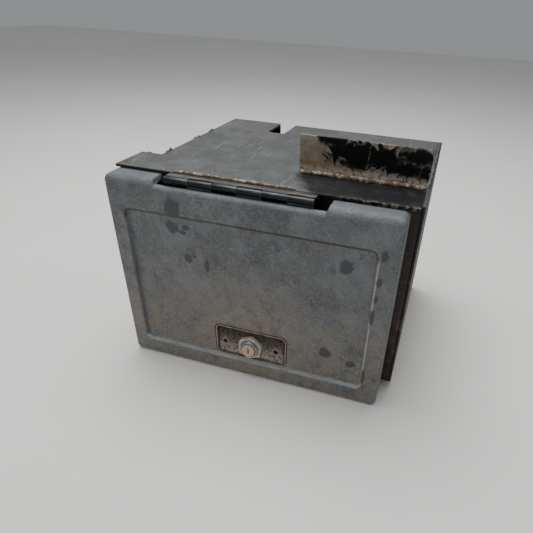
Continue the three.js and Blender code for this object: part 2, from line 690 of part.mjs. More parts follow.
const toGreat = (35 * Math.PI) / 180;         // direction from the great wheel to the code arbor
const toFly = (-40 * Math.PI) / 180;          // direction from the code arbor to the fly
const greatDistance = ((GREAT_TEETH + PINION_TEETH) * GEAR_MODULE) / 2;
const flyDistance = ((CENTRE_TEETH + PINION_TEETH) * GEAR_MODULE) / 2;
const greatAxis = [movementLeft + 38, movementBase + 44];
const codeAxis = [
  greatAxis[0] + greatDistance * Math.cos(toGreat),
  greatAxis[1] + greatDistance * Math.sin(toGreat),
];
const flyAxis = [
  codeAxis[0] + flyDistance * Math.cos(toFly),
  codeAxis[1] + flyDistance * Math.sin(toFly),
];
const greatWheelY = [backPlateFront - 9, backPlateFront - 5];
const centreWheelY = [backPlateFront - 18, backPlateFront - 15];
const barrelY = [frontPlateRear + 3, frontPlateRear + 13];
const leverY = [frontPlateFront - LEVER.standOff - LEVER.thickness, frontPlateFront - LEVER.standOff];
const codeWheelY = [frontPlateFront - 6, frontPlateFront - 3];
const leverAxis = [movementLeft + 14, movementBase + MOVEMENT_HEIGHT - 16];

function arborHoles(plate) {
  let shape = plate;
  for (const axis of [greatAxis, codeAxis, flyAxis]) {
    shape = shape.subtract(rodY(ARBOR_RADIUS + FIT, [frontPlateFront - 1, backPlateRear + 1], axis, 12));
  }
  return shape;
}

function buildMovementFrame() {
  const sideX = [movementLeft, movementLeft + MOVEMENT_WIDTH];
  const sideZ = [movementBase, movementBase + MOVEMENT_HEIGHT];
  const outline = roundedOutline(sideX, sideZ, 6);
  const back = pushY(outline, [backPlateFront, backPlateRear], undefined, 3);
  const front = pushY(outline, [frontPlateFront, frontPlateRear], undefined, 3);
  const neck = PILLAR_RADIUS / 2;
  const places = [
    [sideX[0] + 8, sideZ[0] + 8],
    [sideX[1] - 8, sideZ[0] + 8],
    [(sideX[0] + sideX[1]) / 2, sideZ[1] - 8],
  ];
  let bored = arborHoles(back);
  places.forEach((place, i) => {
    bored = bored.subtract(rodY(neck + FIT, [backPlateFront - 1, backPlateRear + 1], place, 12));
    const pillar = rodY(PILLAR_RADIUS, [frontPlateRear + GAP, backPlateFront - GAP], place, 12);
    const stem = rodY(neck, [backPlateFront - 1, backPlateRear + 1], place, 12);
    const foot = rodY(PILLAR_RADIUS, [backPlateRear + GAP, panelFront - GAP], place, 12);
    piece(`movement_pillar_${i + 1}`, pillar.add(stem).add(foot), paint.brass);
  });
  piece('movement_back_plate', bored, paint.brass);
  const stud = rodY(ARBOR_RADIUS, [leverY[0] - 3, frontPlateFront + 1], leverAxis, 12);
  const shoulder = rodY(ARBOR_RADIUS * 2, [leverY[1] + GAP, frontPlateFront + 1], leverAxis, 12);
  piece('movement_front_plate', arborHoles(front).add(stud).add(shoulder), paint.brass);
}

function arbor(axis, frontEnd) {
  return rodY(ARBOR_RADIUS, [frontEnd, backPlateRear + 1], axis, 12);
}

function buildTrain() {
  const bore = (axis) => rodY(ARBOR_RADIUS + FIT, [frontPlateFront - 20, backPlateRear + 2], axis, 12);
  const great = pushY(wheelOutline(GREAT_TEETH, toGreat, greatAxis), greatWheelY);
  piece('great_wheel', great.add(arbor(greatAxis, frontPlateFront - 2)), paint.brass);
  const drum = rodY(BARREL_RADIUS, barrelY, greatAxis, 28);
  const hub = rodY(6, [barrelY[1] - 1, greatWheelY[0] - GAP], greatAxis, 16);
  piece('mainspring_barrel', drum.add(hub).subtract(bore(greatAxis)), paint.brass);

  const pinionGap = Math.PI / PINION_TEETH;
  const codePinion = pushY(
    wheelOutline(PINION_TEETH, toGreat + Math.PI + pinionGap, codeAxis),
    [greatWheelY[0] - 1, greatWheelY[1] + 1],
  );
  piece('code_arbor', arbor(codeAxis, codeWheelY[0] - 3).add(codePinion), paint.steel);
  const centre = pushY(wheelOutline(CENTRE_TEETH, toFly, codeAxis), centreWheelY);
  piece('centre_wheel', centre.subtract(bore(codeAxis)), paint.brass);
  piece('code_wheel', codeWheel().subtract(bore(codeAxis)), paint.brass);

  const flyPinion = pushY(
    wheelOutline(PINION_TEETH, toFly + Math.PI + pinionGap, flyAxis),
    [centreWheelY[0] - 1, centreWheelY[1] + 1],
  );
  const vane = block(
    [flyAxis[0] - 12, flyAxis[0] + 12],
    [frontPlateRear + 3, frontPlateRear + 11],
    [flyAxis[1] - 0.5, flyAxis[1] + 0.5],
  );
  piece('speed_fly', arbor(flyAxis, frontPlateFront).add(flyPinion).add(vane), paint.steel);
}

// A disc whose rim is cut away at the places that make the box's number.
function codeWheel() {
  const places = 16;
  const step = (Math.PI * 2) / places;
  const shape = new THREE.Shape();
  for (let i = 0; i < places; i += 1) {
    const radius = CODE_NOTCHES.includes(i) ? CODE_WHEEL_RADIUS - 3.5 : CODE_WHEEL_RADIUS;
    for (const share of [0.05, 0.35, 0.65, 0.95]) {
      const angle = (i + share) * step;
      const point = [codeAxis[0] + radius * Math.cos(angle), codeAxis[1] + radius * Math.sin(angle)];
      if (i === 0 && share === 0.05) shape.moveTo(...point);
      else shape.lineTo(...point);
    }
  }
  shape.closePath();
  return pushY(shape, codeWheelY);
}

// ---------- pull lever and telegraph contacts ----------
function buildPullLever() {
  const [x, z] = leverAxis;
  const hole = rodY(ARBOR_RADIUS + FIT, [frontPlateFront - 20, frontPlateFront], leverAxis, 12);
  const half = LEVER.width / 2;
  const arm = roundedOutline([x - half, x + half], [z - LEVER.reach - half, z + half], half - 0.1);
  const gripY = [leverY[0] - LEVER.gripLength, leverY[0] + 1];
  const grip = rodY(LEVER.gripRadius, gripY, [x, z - LEVER.reach], 20);
  piece('pull_lever', pushY(arm, leverY, undefined, 4).add(grip).subtract(hole), paint.lock);

  // The spring's turns lie round the stud's shoulder and its leg lies along the plate.
  const inside = ARBOR_RADIUS * 2 + FIT;
  const outside = inside + LEVER_SPRING.wire;
  const turnsY = [frontPlateFront - GAP - LEVER_SPRING.turnsLength, frontPlateFront - GAP];
  const turns = rodY(outside, turnsY, leverAxis, 20);
  const leg = block(
    [x, x + LEVER_SPRING.legLength],
    [turnsY[1] - LEVER_SPRING.wire, turnsY[1]],
    [z + inside, z + outside],
  );
  const bore = rodY(inside, [turnsY[0] - 1, turnsY[1] + 1], leverAxis, 20);
  piece('lever_return_spring', turns.add(leg).subtract(bore), paint.steel);
}

function buildContacts() {
  const rimTop = codeAxis[1] + CODE_WHEEL_RADIUS;
  const blockX = [codeAxis[0] + CONTACT.reach, codeAxis[0] + CONTACT.reach + CONTACT.blockWidth];
  const blockZ = [rimTop - CONTACT.blockHeight / 3, rimTop + (CONTACT.blockHeight * 2) / 3];
  const seat = [frontPlateFront - CONTACT.blockDepth, frontPlateFront - GAP];
  piece('contact_block', block(blockX, seat, blockZ), paint.fibre);

  const fingerZ = rimTop + CONTACT.fingerAbove;
  const fingerLeft = codeAxis[0] - CONTACT.nibWidth;
  const blade = block([fingerLeft, blockX[0] - GAP], codeWheelY, [fingerZ, fingerZ + CONTACT.blade]);
  const nib = block([fingerLeft, codeAxis[0]], codeWheelY, [rimTop + CONTACT.nibAbove, fingerZ + 0.2]);
  piece('code_contact_finger', blade.add(nib), paint.copper);
  const fixedZ = fingerZ + CONTACT.blade + CONTACT.opening;
  const fixed = block([codeAxis[0] + 2, blockX[0] - GAP], codeWheelY, [fixedZ, fixedZ + CONTACT.blade]);
  piece('fixed_contact', fixed, paint.copper);
}

// ---------- bell ----------
const gongAxis = [
  panelRight - GONG_RADIUS - GONG_MARGIN.side,
  panelTop - GONG_RADIUS - GONG_MARGIN.top,
];
const gongBack = panelFront - GONG_STAND_OFF;
const hammerBallZ = gongAxis[1] - HAMMER.strikeBelow;
const hammerReach = GONG_RADIUS + HAMMER_BALL_RADIUS + HAMMER_GAP;
const hammerX = gongAxis[0] - Math.sqrt(hammerReach ** 2 - (gongAxis[1] - hammerBallZ) ** 2);
const pivotZ = gongAxis[1] - GONG_RADIUS - HAMMER.pivotBelowGong;
const hammerY = gongBack - GONG_DEPTH / 2;
const armatureFace = hammerX + ARMATURE_THICKNESS / 2;
const coilX = [armatureFace + CORE_GAP + 2, armatureFace + CORE_GAP + 2 + COIL_LENGTH];

function buildBell() {
  const outer = rodY(GONG_RADIUS, [gongBack - GONG_DEPTH, gongBack], gongAxis, 36);
  const innerY = [gongBack - GONG_DEPTH + GONG_WALL, gongBack + 1];
  const inner = rodY(GONG_RADIUS - GONG_WALL, innerY, gongAxis, 36);
  const postHole = rodY(GONG_POST_RADIUS + FIT, [gongBack - GONG_DEPTH - 1, gongBack], gongAxis, 12);
  piece('bell_gong', outer.subtract(inner).subtract(postHole), paint.brass);
  const post = rodY(GONG_POST_RADIUS, [gongBack - GONG_DEPTH - 3, panelFront - GAP], gongAxis, 12);
  const shoulderY = [innerY[0] + GAP, panelFront - GAP];
  const shoulder = rodY(GONG_POST_RADIUS * 2, shoulderY, gongAxis, 12);
  piece('gong_post', post.add(shoulder), paint.steel);

  const pivot = [hammerX, pivotZ];
  const hammerDeep = [hammerY - HAMMER.depth / 2, hammerY + HAMMER.depth / 2];
  const rodTop = [pivotZ + HAMMER.armature - 4, hammerBallZ];
  const rod = rodZ(HAMMER.rodRadius, rodTop, [hammerX, hammerY], 8);
  const ballGeometry = new THREE.SphereGeometry(HAMMER_BALL_RADIUS, 12, 8);
  const ball = solid(ballGeometry.translate(hammerX, hammerY, hammerBallZ));
  const armature = block(
    [hammerX - ARMATURE_THICKNESS / 2, armatureFace],
    hammerDeep,
    [pivotZ - ARBOR_RADIUS - 1.5, pivotZ + HAMMER.armature],
  );
  const pivotHole = rodY(ARBOR_RADIUS + FIT, [hammerY - 20, panelFront], pivot, 12);
  const pivotBarrel = rodY(ARBOR_RADIUS + 2, hammerDeep, pivot, 12);
  const hammer = rod.add(ball).add(armature).add(pivotBarrel).subtract(pivotHole);
  piece('bell_hammer', hammer, paint.steel);
  const pivotPin = rodY(ARBOR_RADIUS, [hammerDeep[0] - 2, panelFront - GAP], pivot, 12);
  piece('hammer_pivot', pivotPin, paint.steel);

  const coilPitch = COIL_RADIUS * 2 + 3;
  const coilZ = [pivotZ + COIL_RADIUS, pivotZ + COIL_RADIUS + coilPitch];
  coilZ.forEach((z, i) => {
    const core = rodX(COIL_CORE_RADIUS, [coilX[0] - 2, coilX[1] + GAP], [hammerY, z], 12);
    const winding = rodX(COIL_RADIUS, coilX, [hammerY, z], 20);
    piece(`bell_coil_${i + 1}`, core.add(winding), paint.copper);
  });
  const yokeX = [coilX[1] + 2 * GAP, coilX[1] + 2 * GAP + YOKE_THICKNESS];
  const yokeZ = [coilZ[0] - COIL_RADIUS, coilZ[1] + COIL_RADIUS];
  piece('coil_yoke', block(yokeX, [hammerY - 8, panelFront - GAP], yokeZ), paint.steel);
}

// ---------- signal key ----------
function buildSignalKey() {
  const keyZ = [panelBase + SERVICE_ROW.above, panelBase + SERVICE_ROW.above + SERVICE_ROW.height];
  const keyX = [panelCentreX + KEY.left, panelCentreX + KEY.left + KEY.length];
  const middle = (keyX[0] + keyX[1]) / 2;
  const middleZ = (keyZ[0] + keyZ[1]) / 2;
  piece('key_base', block(keyX, [panelFront - KEY.baseDepth, panelFront - GAP], keyZ), paint.fibre);

  const pinPlaceY = panelFront - KEY.pinStandOff;
  const leverBack = pinPlaceY - ARBOR_RADIUS;
  const leverFront = leverBack - KEY.leverThickness;
  const leverZ = [middleZ - KEY.leverHeight / 2, middleZ + KEY.leverHeight / 2];
  const saddleX = [middle - KEY.saddle / 2, middle + KEY.saddle / 2];
  const lever = block([keyX[0] + 2, keyX[1] - 2], [leverFront, leverBack], leverZ);
  const knobY = [leverFront - KEY.knobHeight, leverFront + 1];
  const knob = rodY(KEY.knobRadius, knobY, [keyX[0] + KEY.knobRadius + 2, middleZ], 20);
  const saddle = block(saddleX, [leverBack - 1, pinPlaceY + ARBOR_RADIUS + 1.5], leverZ);
  const pivotHole = rodZ(ARBOR_RADIUS + FIT, [keyZ[0] - 1, keyZ[1] + 1], [middle, pinPlaceY], 12);
  piece('key_lever', lever.add(knob).add(saddle).subtract(pivotHole), paint.brass);

  const earZ = [keyZ[0] + 1, keyZ[1] - 1];
  let bridge = rodZ(ARBOR_RADIUS, [earZ[0] + 0.4, earZ[1] - 0.4], [middle, pinPlaceY], 12);
  for (const ear of [[earZ[0], earZ[0] + KEY.ear], [earZ[1] - KEY.ear, earZ[1]]]) {
    bridge = bridge.add(block(saddleX, [pinPlaceY - 3, panelFront - KEY.baseDepth - GAP], ear));
  }
  piece('key_bridge', bridge, paint.brass);
}

// ---------- line terminals ----------
function buildTerminals() {
  const blockZ = [panelBase + SERVICE_ROW.above, panelBase + SERVICE_ROW.above + SERVICE_ROW.height];
  const blockX = [panelLeft + TERMINALS.left, panelLeft + TERMINALS.left + TERMINALS.length];
  const face = panelFront - TERMINALS.depth;
  const pitch = TERMINALS.length / LINE_TERMINALS;
  let base = block(blockX, [face, panelFront - GAP], blockZ);
  const places = Array.from({ length: LINE_TERMINALS }, (_, i) => [
    blockX[0] + pitch * (i + 0.5),
    (blockZ[0] + blockZ[1]) / 2,
  ]);
  for (const place of places) {
    base = base.subtract(rodY(SCREW_RADIUS + FIT, [face - 1, face + 9], place, 12));
  }
  piece('terminal_block', base, paint.fibre);
  places.forEach((place, i) => {
    const shank = rodY(SCREW_RADIUS, [face - 1, face + 8], place, 12);
    const head = rodY(TERMINALS.headRadius, [face - GAP - TERMINALS.headThickness, face - GAP], place, 16);
    piece(`terminal_screw_${i + 1}`, shank.add(head), paint.brass);
  });
}

buildCase();
buildStripAndBracket();
buildHinge();
buildDoor();
buildLock();
buildMechanismPanel();
buildMovementFrame();
buildTrain();
buildPullLever();
buildContacts();
buildBell();
buildSignalKey();
buildTerminals();

export default box;
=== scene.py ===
"""Street fire alarm box: a welded steel case with a cast door that lifts on a top hinge.

Pieces are drawn in millimetres in the frame's own axes (X right, Y back, Z up) and
turned into metres when they are added. Places come from the frame's boxes.
"""
import json
import math

import bmesh
import bpy
import numpy as np
from mathutils import Matrix, Vector, noise


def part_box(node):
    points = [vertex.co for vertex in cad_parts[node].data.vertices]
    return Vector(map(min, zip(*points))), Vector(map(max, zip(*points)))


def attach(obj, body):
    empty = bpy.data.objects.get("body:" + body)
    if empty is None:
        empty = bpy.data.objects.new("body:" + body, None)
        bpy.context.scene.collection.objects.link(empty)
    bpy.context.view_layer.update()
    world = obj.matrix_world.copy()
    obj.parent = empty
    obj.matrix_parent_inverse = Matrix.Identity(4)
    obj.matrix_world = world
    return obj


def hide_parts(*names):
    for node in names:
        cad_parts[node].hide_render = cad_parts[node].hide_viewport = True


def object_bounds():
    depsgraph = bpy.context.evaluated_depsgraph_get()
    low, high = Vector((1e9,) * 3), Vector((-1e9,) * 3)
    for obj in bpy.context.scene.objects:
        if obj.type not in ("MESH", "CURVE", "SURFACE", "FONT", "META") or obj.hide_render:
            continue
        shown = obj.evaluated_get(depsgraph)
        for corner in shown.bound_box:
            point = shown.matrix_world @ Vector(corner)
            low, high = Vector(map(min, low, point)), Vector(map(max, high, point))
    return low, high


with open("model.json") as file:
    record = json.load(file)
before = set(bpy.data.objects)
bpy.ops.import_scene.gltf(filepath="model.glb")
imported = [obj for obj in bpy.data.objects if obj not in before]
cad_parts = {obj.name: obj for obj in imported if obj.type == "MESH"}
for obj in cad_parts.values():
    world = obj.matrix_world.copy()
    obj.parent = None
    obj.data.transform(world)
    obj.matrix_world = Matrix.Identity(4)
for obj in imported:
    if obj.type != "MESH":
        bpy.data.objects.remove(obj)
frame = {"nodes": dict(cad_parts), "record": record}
cad_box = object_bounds()

MM = 0.001
record = frame["record"]
slot_of = {part["node"]: part["material_slot"] for part in record["subparts"]}
body_of = {
    node_name: body
    for body, members in record["behaviour"]["bodies"].items()
    for node_name in members
}


# ---------- places, from the frame ----------
def box(name):
    """A node's lowest and highest corners in millimetres."""
    low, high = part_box(name)
    return Vector(low) / MM, Vector(high) / MM


DOOR_LOW, DOOR_HIGH = box("door_casting")
HINGE_LOW, HINGE_HIGH = box("hinge_door_leaf")
PIN_LOW, PIN_HIGH = box("hinge_pin")
STRIP_LOW, STRIP_HIGH = box("front_strip")
TOP_LOW, TOP_HIGH = box("top_plate")
BRACKET_LOW, BRACKET_HIGH = box("upright_bracket")
LOCK_LOW, LOCK_HIGH = box("lock_housing")
COLLAR_LOW, COLLAR_HIGH = box("lock_collar")
PLUG_LOW, PLUG_HIGH = box("lock_plug")
PLATE_LOW, PLATE_HIGH = box("lock_plate")
SCREWS = [box(name) for name in ("lock_screw_1", "lock_screw_2")]
SCREW_PLACES = [((low.x + high.x) / 2, (low.z + high.z) / 2) for low, high in SCREWS]

PIN_Y = (PIN_LOW.y + PIN_HIGH.y) / 2
PIN_Z = (PIN_LOW.z + PIN_HIGH.z) / 2
KNUCKLES = 6
KNUCKLE_LENGTH = (PIN_HIGH.x - PIN_LOW.x) / KNUCKLES
KNUCKLE_RADIUS = HINGE_HIGH.z - PIN_Z
LOCK_X = (LOCK_LOW.x + LOCK_HIGH.x) / 2
LOCK_Z = (LOCK_LOW.z + LOCK_HIGH.z) / 2

DOOR_WALL = 4.5
DOOR_FACE = 6.3
DOOR_CORNER = 6
TOP_ROUND = 10
EDGE_ROUND = 2.5
NOTCH_DROP = 5.6
NOTCH_ROUND = 5.5
NOTCH_LEFT = HINGE_LOW.x - 8
NOTCH_RIGHT = HINGE_HIGH.x + 12.5
SHOULDER_SLOPE = 3.2
PANEL_MARGIN = {"left": 16.8, "right": 18.9, "top": 32.4, "bottom": 18.9}
PANEL_DEPTH = 2.4
PANEL_SLOPE = 4
PANEL_CORNER = 8
POCKET_SIZE = (81.5, 37.5)
POCKET_DEPTH = 7
POCKET_FLOOR = 5
POCKET_CORNER = 4
POCKET_CENTRE = (LOCK_X, LOCK_Z + 1.6)
LOW_LIP = 0.25     # share of the pocket's raised lip that is left where it meets the recess's edge
LOCK_HOLE = 9.8


# ---------- shader helpers ----------
def linear(shade):
    """A colour written as sRGB hex, as the linear values that Blender mixes."""
    parts = [int(shade[i:i + 2], 16) / 255 for i in (0, 2, 4)]
    return tuple(
        part / 12.92 if part <= 0.04045 else ((part + 0.055) / 1.055) ** 2.4
        for part in parts
    ) + (1.0,)


def node(tree, kind, inputs=None, **settings):
    """Adds a node; an input is a plain value or the socket that feeds it."""
    made = tree.nodes.new(kind)
    for name, value in settings.items():
        setattr(made, name, value)
    for name, value in (inputs or {}).items():
        if isinstance(value, bpy.types.NodeSocket):
            tree.links.new(value, made.inputs[name])
        else:
            made.inputs[name].default_value = value
    return made


def new_material(name, metallic, roughness):
    """A material, its tree, its shader, and the object's own coordinates in millimetres."""
    material = bpy.data.materials.new(name)
    material.use_nodes = True
    tree = material.node_tree
    tree.nodes.clear()
    shader = node(tree, "ShaderNodeBsdfPrincipled", {"Metallic": metallic, "Roughness": roughness})
    output = node(tree, "ShaderNodeOutputMaterial")
    tree.links.new(shader.outputs["BSDF"], output.inputs["Surface"])
    coordinates = node(tree, "ShaderNodeTexCoord")
    place = node(
        tree, "ShaderNodeVectorMath", {0: coordinates.outputs["Object"], "Scale": 1 / MM},
        operation="SCALE",
    )
    return material, tree, shader, place.outputs[0]


def patches(tree, place, size, start, end, stretch=(1, 1, 1), detail=5, seed=0.0):
    """A ragged mask: 0 below `start` of a cloud `size` mm across, 1 above `end`."""
    moved = node(
        tree, "ShaderNodeMapping",
        {"Vector": place, "Location": (seed, seed * 0.7, seed * 1.3), "Scale": stretch},
    )
    cloud = node(
        tree, "ShaderNodeTexNoise",
        {"Vector": moved.outputs[0], "Scale": 1 / size, "Detail": detail, "Roughness": 0.6},
    )
    mask = node(
        tree, "ShaderNodeMapRange",
        {"Value": cloud.outputs[0], "From Min": start, "From Max": end},
        interpolation_type="SMOOTHSTEP",
    )
    return mask.outputs[0]


def band(tree, value, points):
    """A mask that follows straight lines between (value, strength) points along one value."""
    low, high = points[0][0], points[-1][0]
    spread = node(tree, "ShaderNodeMapRange", {"Value": value, "From Min": low, "From Max": high})
    ramp = node(tree, "ShaderNodeValToRGB", {"Fac": spread.outputs[0]})
    stops = ramp.color_ramp.elements
    stops.remove(stops[1])
    stops[0].position = 0
    stops[0].color = (points[0][1],) * 3 + (1,)
    for at, strength in points[1:]:
        stop = stops.new((at - low) / (high - low))
        stop.color = (strength,) * 3 + (1,)
    return ramp.outputs[0]


def times(tree, *factors):
    """The product of several masks or numbers."""
    product = factors[0]
    for factor in factors[1:]:
        product = node(tree, "ShaderNodeMath", {0: product, 1: factor}, operation="MULTIPLY").outputs[0]
    return product


def layered(tree, colour, layers):
    """Lays each (hex colour, mask) over the ones before it."""
    for shade, mask in layers:
        blend = node(
            tree, "ShaderNodeMix", {0: mask, 6: colour, 7: linear(shade)}, data_type="RGBA",
        )
        colour = blend.outputs[2]
    return colour


def relief(tree, shader, heights):
    """Chains bumps of (mask, height in mm) into the shader's normal."""
    normal = None
    for mask, height in heights:
        inputs = {"Height": mask, "Distance": abs(height) * MM, "Strength": 1.0}
        if normal is not None:
            inputs["Normal"] = normal
        normal = node(tree, "ShaderNodeBump", inputs, invert=height < 0).outputs[0]
    tree.links.new(normal, shader.inputs["Normal"])


def axes(tree, place):
    """The three coordinates of a point, each as its own socket."""
    return node(tree, "ShaderNodeSeparateXYZ", {"Vector": place}).outputs


def upward(tree):
    """How far the surface faces up, from the object's own normal."""
    coordinates = node(tree, "ShaderNodeTexCoord")
    return node(tree, "ShaderNodeSeparateXYZ", {"Vector": coordinates.outputs["Normal"]}).outputs[2]


def spot(tree, place, centre, size, ragged):
    """A ragged-edged oval mask on an X-Z face; `centre` and `size` are (x, z) in mm."""
    offset = node(
        tree, "ShaderNodeVectorMath", {0: place, 1: (centre[0], 0, centre[1])}, operation="SUBTRACT",
    )
    scaled = node(
        tree, "ShaderNodeVectorMath", {0: offset.outputs[0], 1: (2 / size[0], 0, 2 / size[1])},
        operation="MULTIPLY",
    )
    reach = node(tree, "ShaderNodeVectorMath", {0: scaled.outputs[0]}, operation="LENGTH")
    rough = node(tree, "ShaderNodeMath", {0: reach.outputs[1], 1: ragged}, operation="ADD")
    return node(
        tree, "ShaderNodeMapRange",
        {"Value": rough.outputs[0], "From Min": 1.65, "From Max": 1.25},
        interpolation_type="SMOOTHSTEP",
    ).outputs[0]


def frame_distance(tree, place, x_span, z_span, corner):
    """Distance in mm to a rounded rectangle's edge on an X-Z face, negative inside it."""
    parts = axes(tree, place)
    past = []
    for part, (low, high) in ((parts[0], x_span), (parts[2], z_span)):
        centred = node(tree, "ShaderNodeMath", {0: part, 1: (low + high) / 2}, operation="SUBTRACT")
        size = node(tree, "ShaderNodeMath", {0: centred.outputs[0]}, operation="ABSOLUTE")
        inset = node(
            tree, "ShaderNodeMath", {0: size.outputs[0], 1: (high - low) / 2 - corner},
            operation="SUBTRACT",
        )
        past.append(inset.outputs[0])
    flat = node(tree, "ShaderNodeMath", {0: past[0], 1: past[1]}, operation="MAXIMUM")
    flat = node(tree, "ShaderNodeMath", {0: flat.outputs[0], 1: 0.0}, operation="MINIMUM")
    outside = [
        node(tree, "ShaderNodeMath", {0: way, 1: 0.0}, operation="MAXIMUM").outputs[0] for way in past
    ]
    both = node(tree, "ShaderNodeCombineXYZ", {"X": outside[0], "Z": outside[1]})
    reach = node(tree, "ShaderNodeVectorMath", {0: both.outputs[0]}, operation="LENGTH")
    whole = node(
        tree, "ShaderNodeMath", {0: reach.outputs[1], 1: flat.outputs[0]}, operation="ADD",
    )
    return node(tree, "ShaderNodeMath", {0: whole.outputs[0], 1: corner}, operation="SUBTRACT").outputs[0]


def from_axis(tree, place, centre):
    """Distance in mm from a line along Y through `centre`, given as (x, z)."""
    offset = node(
        tree, "ShaderNodeVectorMath", {0: place, 1: (centre[0], 0, centre[1])}, operation="SUBTRACT",
    )
    across = node(
        tree, "ShaderNodeVectorMath", {0: offset.outputs[0], 1: (1, 0, 1)}, operation="MULTIPLY",
    )
    return node(tree, "ShaderNodeVectorMath", {0: across.outputs[0]}, operation="LENGTH").outputs[1]


def either(tree, *masks):
    """The strongest of several masks."""
    strongest = masks[0]
    for mask in masks[1:]:
        strongest = node(tree, "ShaderNodeMath", {0: strongest, 1: mask}, operation="MAXIMUM").outputs[0]
    return strongest


# ---------- materials ----------
PANEL_X = (DOOR_LOW.x + PANEL_MARGIN["left"], DOOR_HIGH.x - PANEL_MARGIN["right"])
PANEL_Z = (DOOR_LOW.z + PANEL_MARGIN["bottom"], DOOR_HIGH.z - PANEL_MARGIN["top"])


def panel_marks(tree, place, parts, ragged_line):
    """Brown grime and painted shade along the recess's top edge, painted shade along its left, and a painted
    highlight over bright wear along its bottom and right.
    """
    (left, right), (bottom, top) = PANEL_X, PANEL_Z
    edge = frame_distance(tree, place, PANEL_X, PANEL_Z, PANEL_CORNER)
    on_top = band(tree, parts[2], [(top - 14, 0), (top - 8, 1), (top + 4, 1)])
    on_left = band(tree, parts[0], [(left - 4, 1), (left + 6, 1), (left + 12, 0)])
    on_bottom = band(tree, parts[2], [(bottom - 4, 1), (bottom + 4, 1), (bottom + 8, 0)])
    on_right = band(tree, parts[0], [(right - 9, 0), (right - 5, 1), (right + 4, 1)])
    # Top edge: brown grime with painted shade where the slope faces down.
    top_grime_and_shade = times(
        tree, band(tree, edge, [(-3.2, 0), (-2.0, 0.7), (-0.2, 0.9), (0.9, 0)]), on_top, ragged_line,
    )
    # Left edge: painted shade on the slope that faces away from the light.
    left_edge_shade = times(tree, band(tree, edge, [(-7.5, 0), (-3.6, 0.75), (-1.2, 0.75), (0.8, 0)]), on_left)
    # Bottom edge: a painted bluish sky highlight on the upward slope, over patchy wear.
    bottom_highlight_and_wear = times(
        tree, band(tree, edge, [(-4.4, 0), (-2.8, 0.8), (-0.6, 0.8), (1.0, 0)]), on_bottom,
        patches(tree, place, 5, 0.2, 0.55, stretch=(0.4, 1, 1), seed=140),
    )
    # Right edge: a thin painted highlight on the slope that faces the light, over wear.
    right_highlight_and_wear = times(
        tree, band(tree, edge, [(-1.6, 0), (-0.6, 0.8), (0.2, 0.8), (1.0, 0)]), on_right, ragged_line,
    )
    corner_dust = times(
        tree, band(tree, edge, [(-12, 0), (-4.5, 0.8), (-3.0, 0.3), (0, 0)]),
        either(tree, on_bottom, on_right),
        band(tree, parts[2], [(bottom, 1), (bottom + 50, 0.7), (bottom + 90, 0)]),
    )
    return top_grime_and_shade, left_edge_shade, bottom_highlight_and_wear, right_highlight_and_wear, corner_dust


def rain_marks(tree, place):
    """The dark marks of dried water, with the crisp torn outline of a puddle's edge."""
    ragged = node(
        tree, "ShaderNodeTexNoise", {"Vector": place, "Scale": 1 / 7.0, "Detail": 2, "Roughness": 0.45},
    ).outputs[0]
    return either(tree, *[spot(tree, place, centre, size, ragged) for centre, size in RAIN_STAINS])


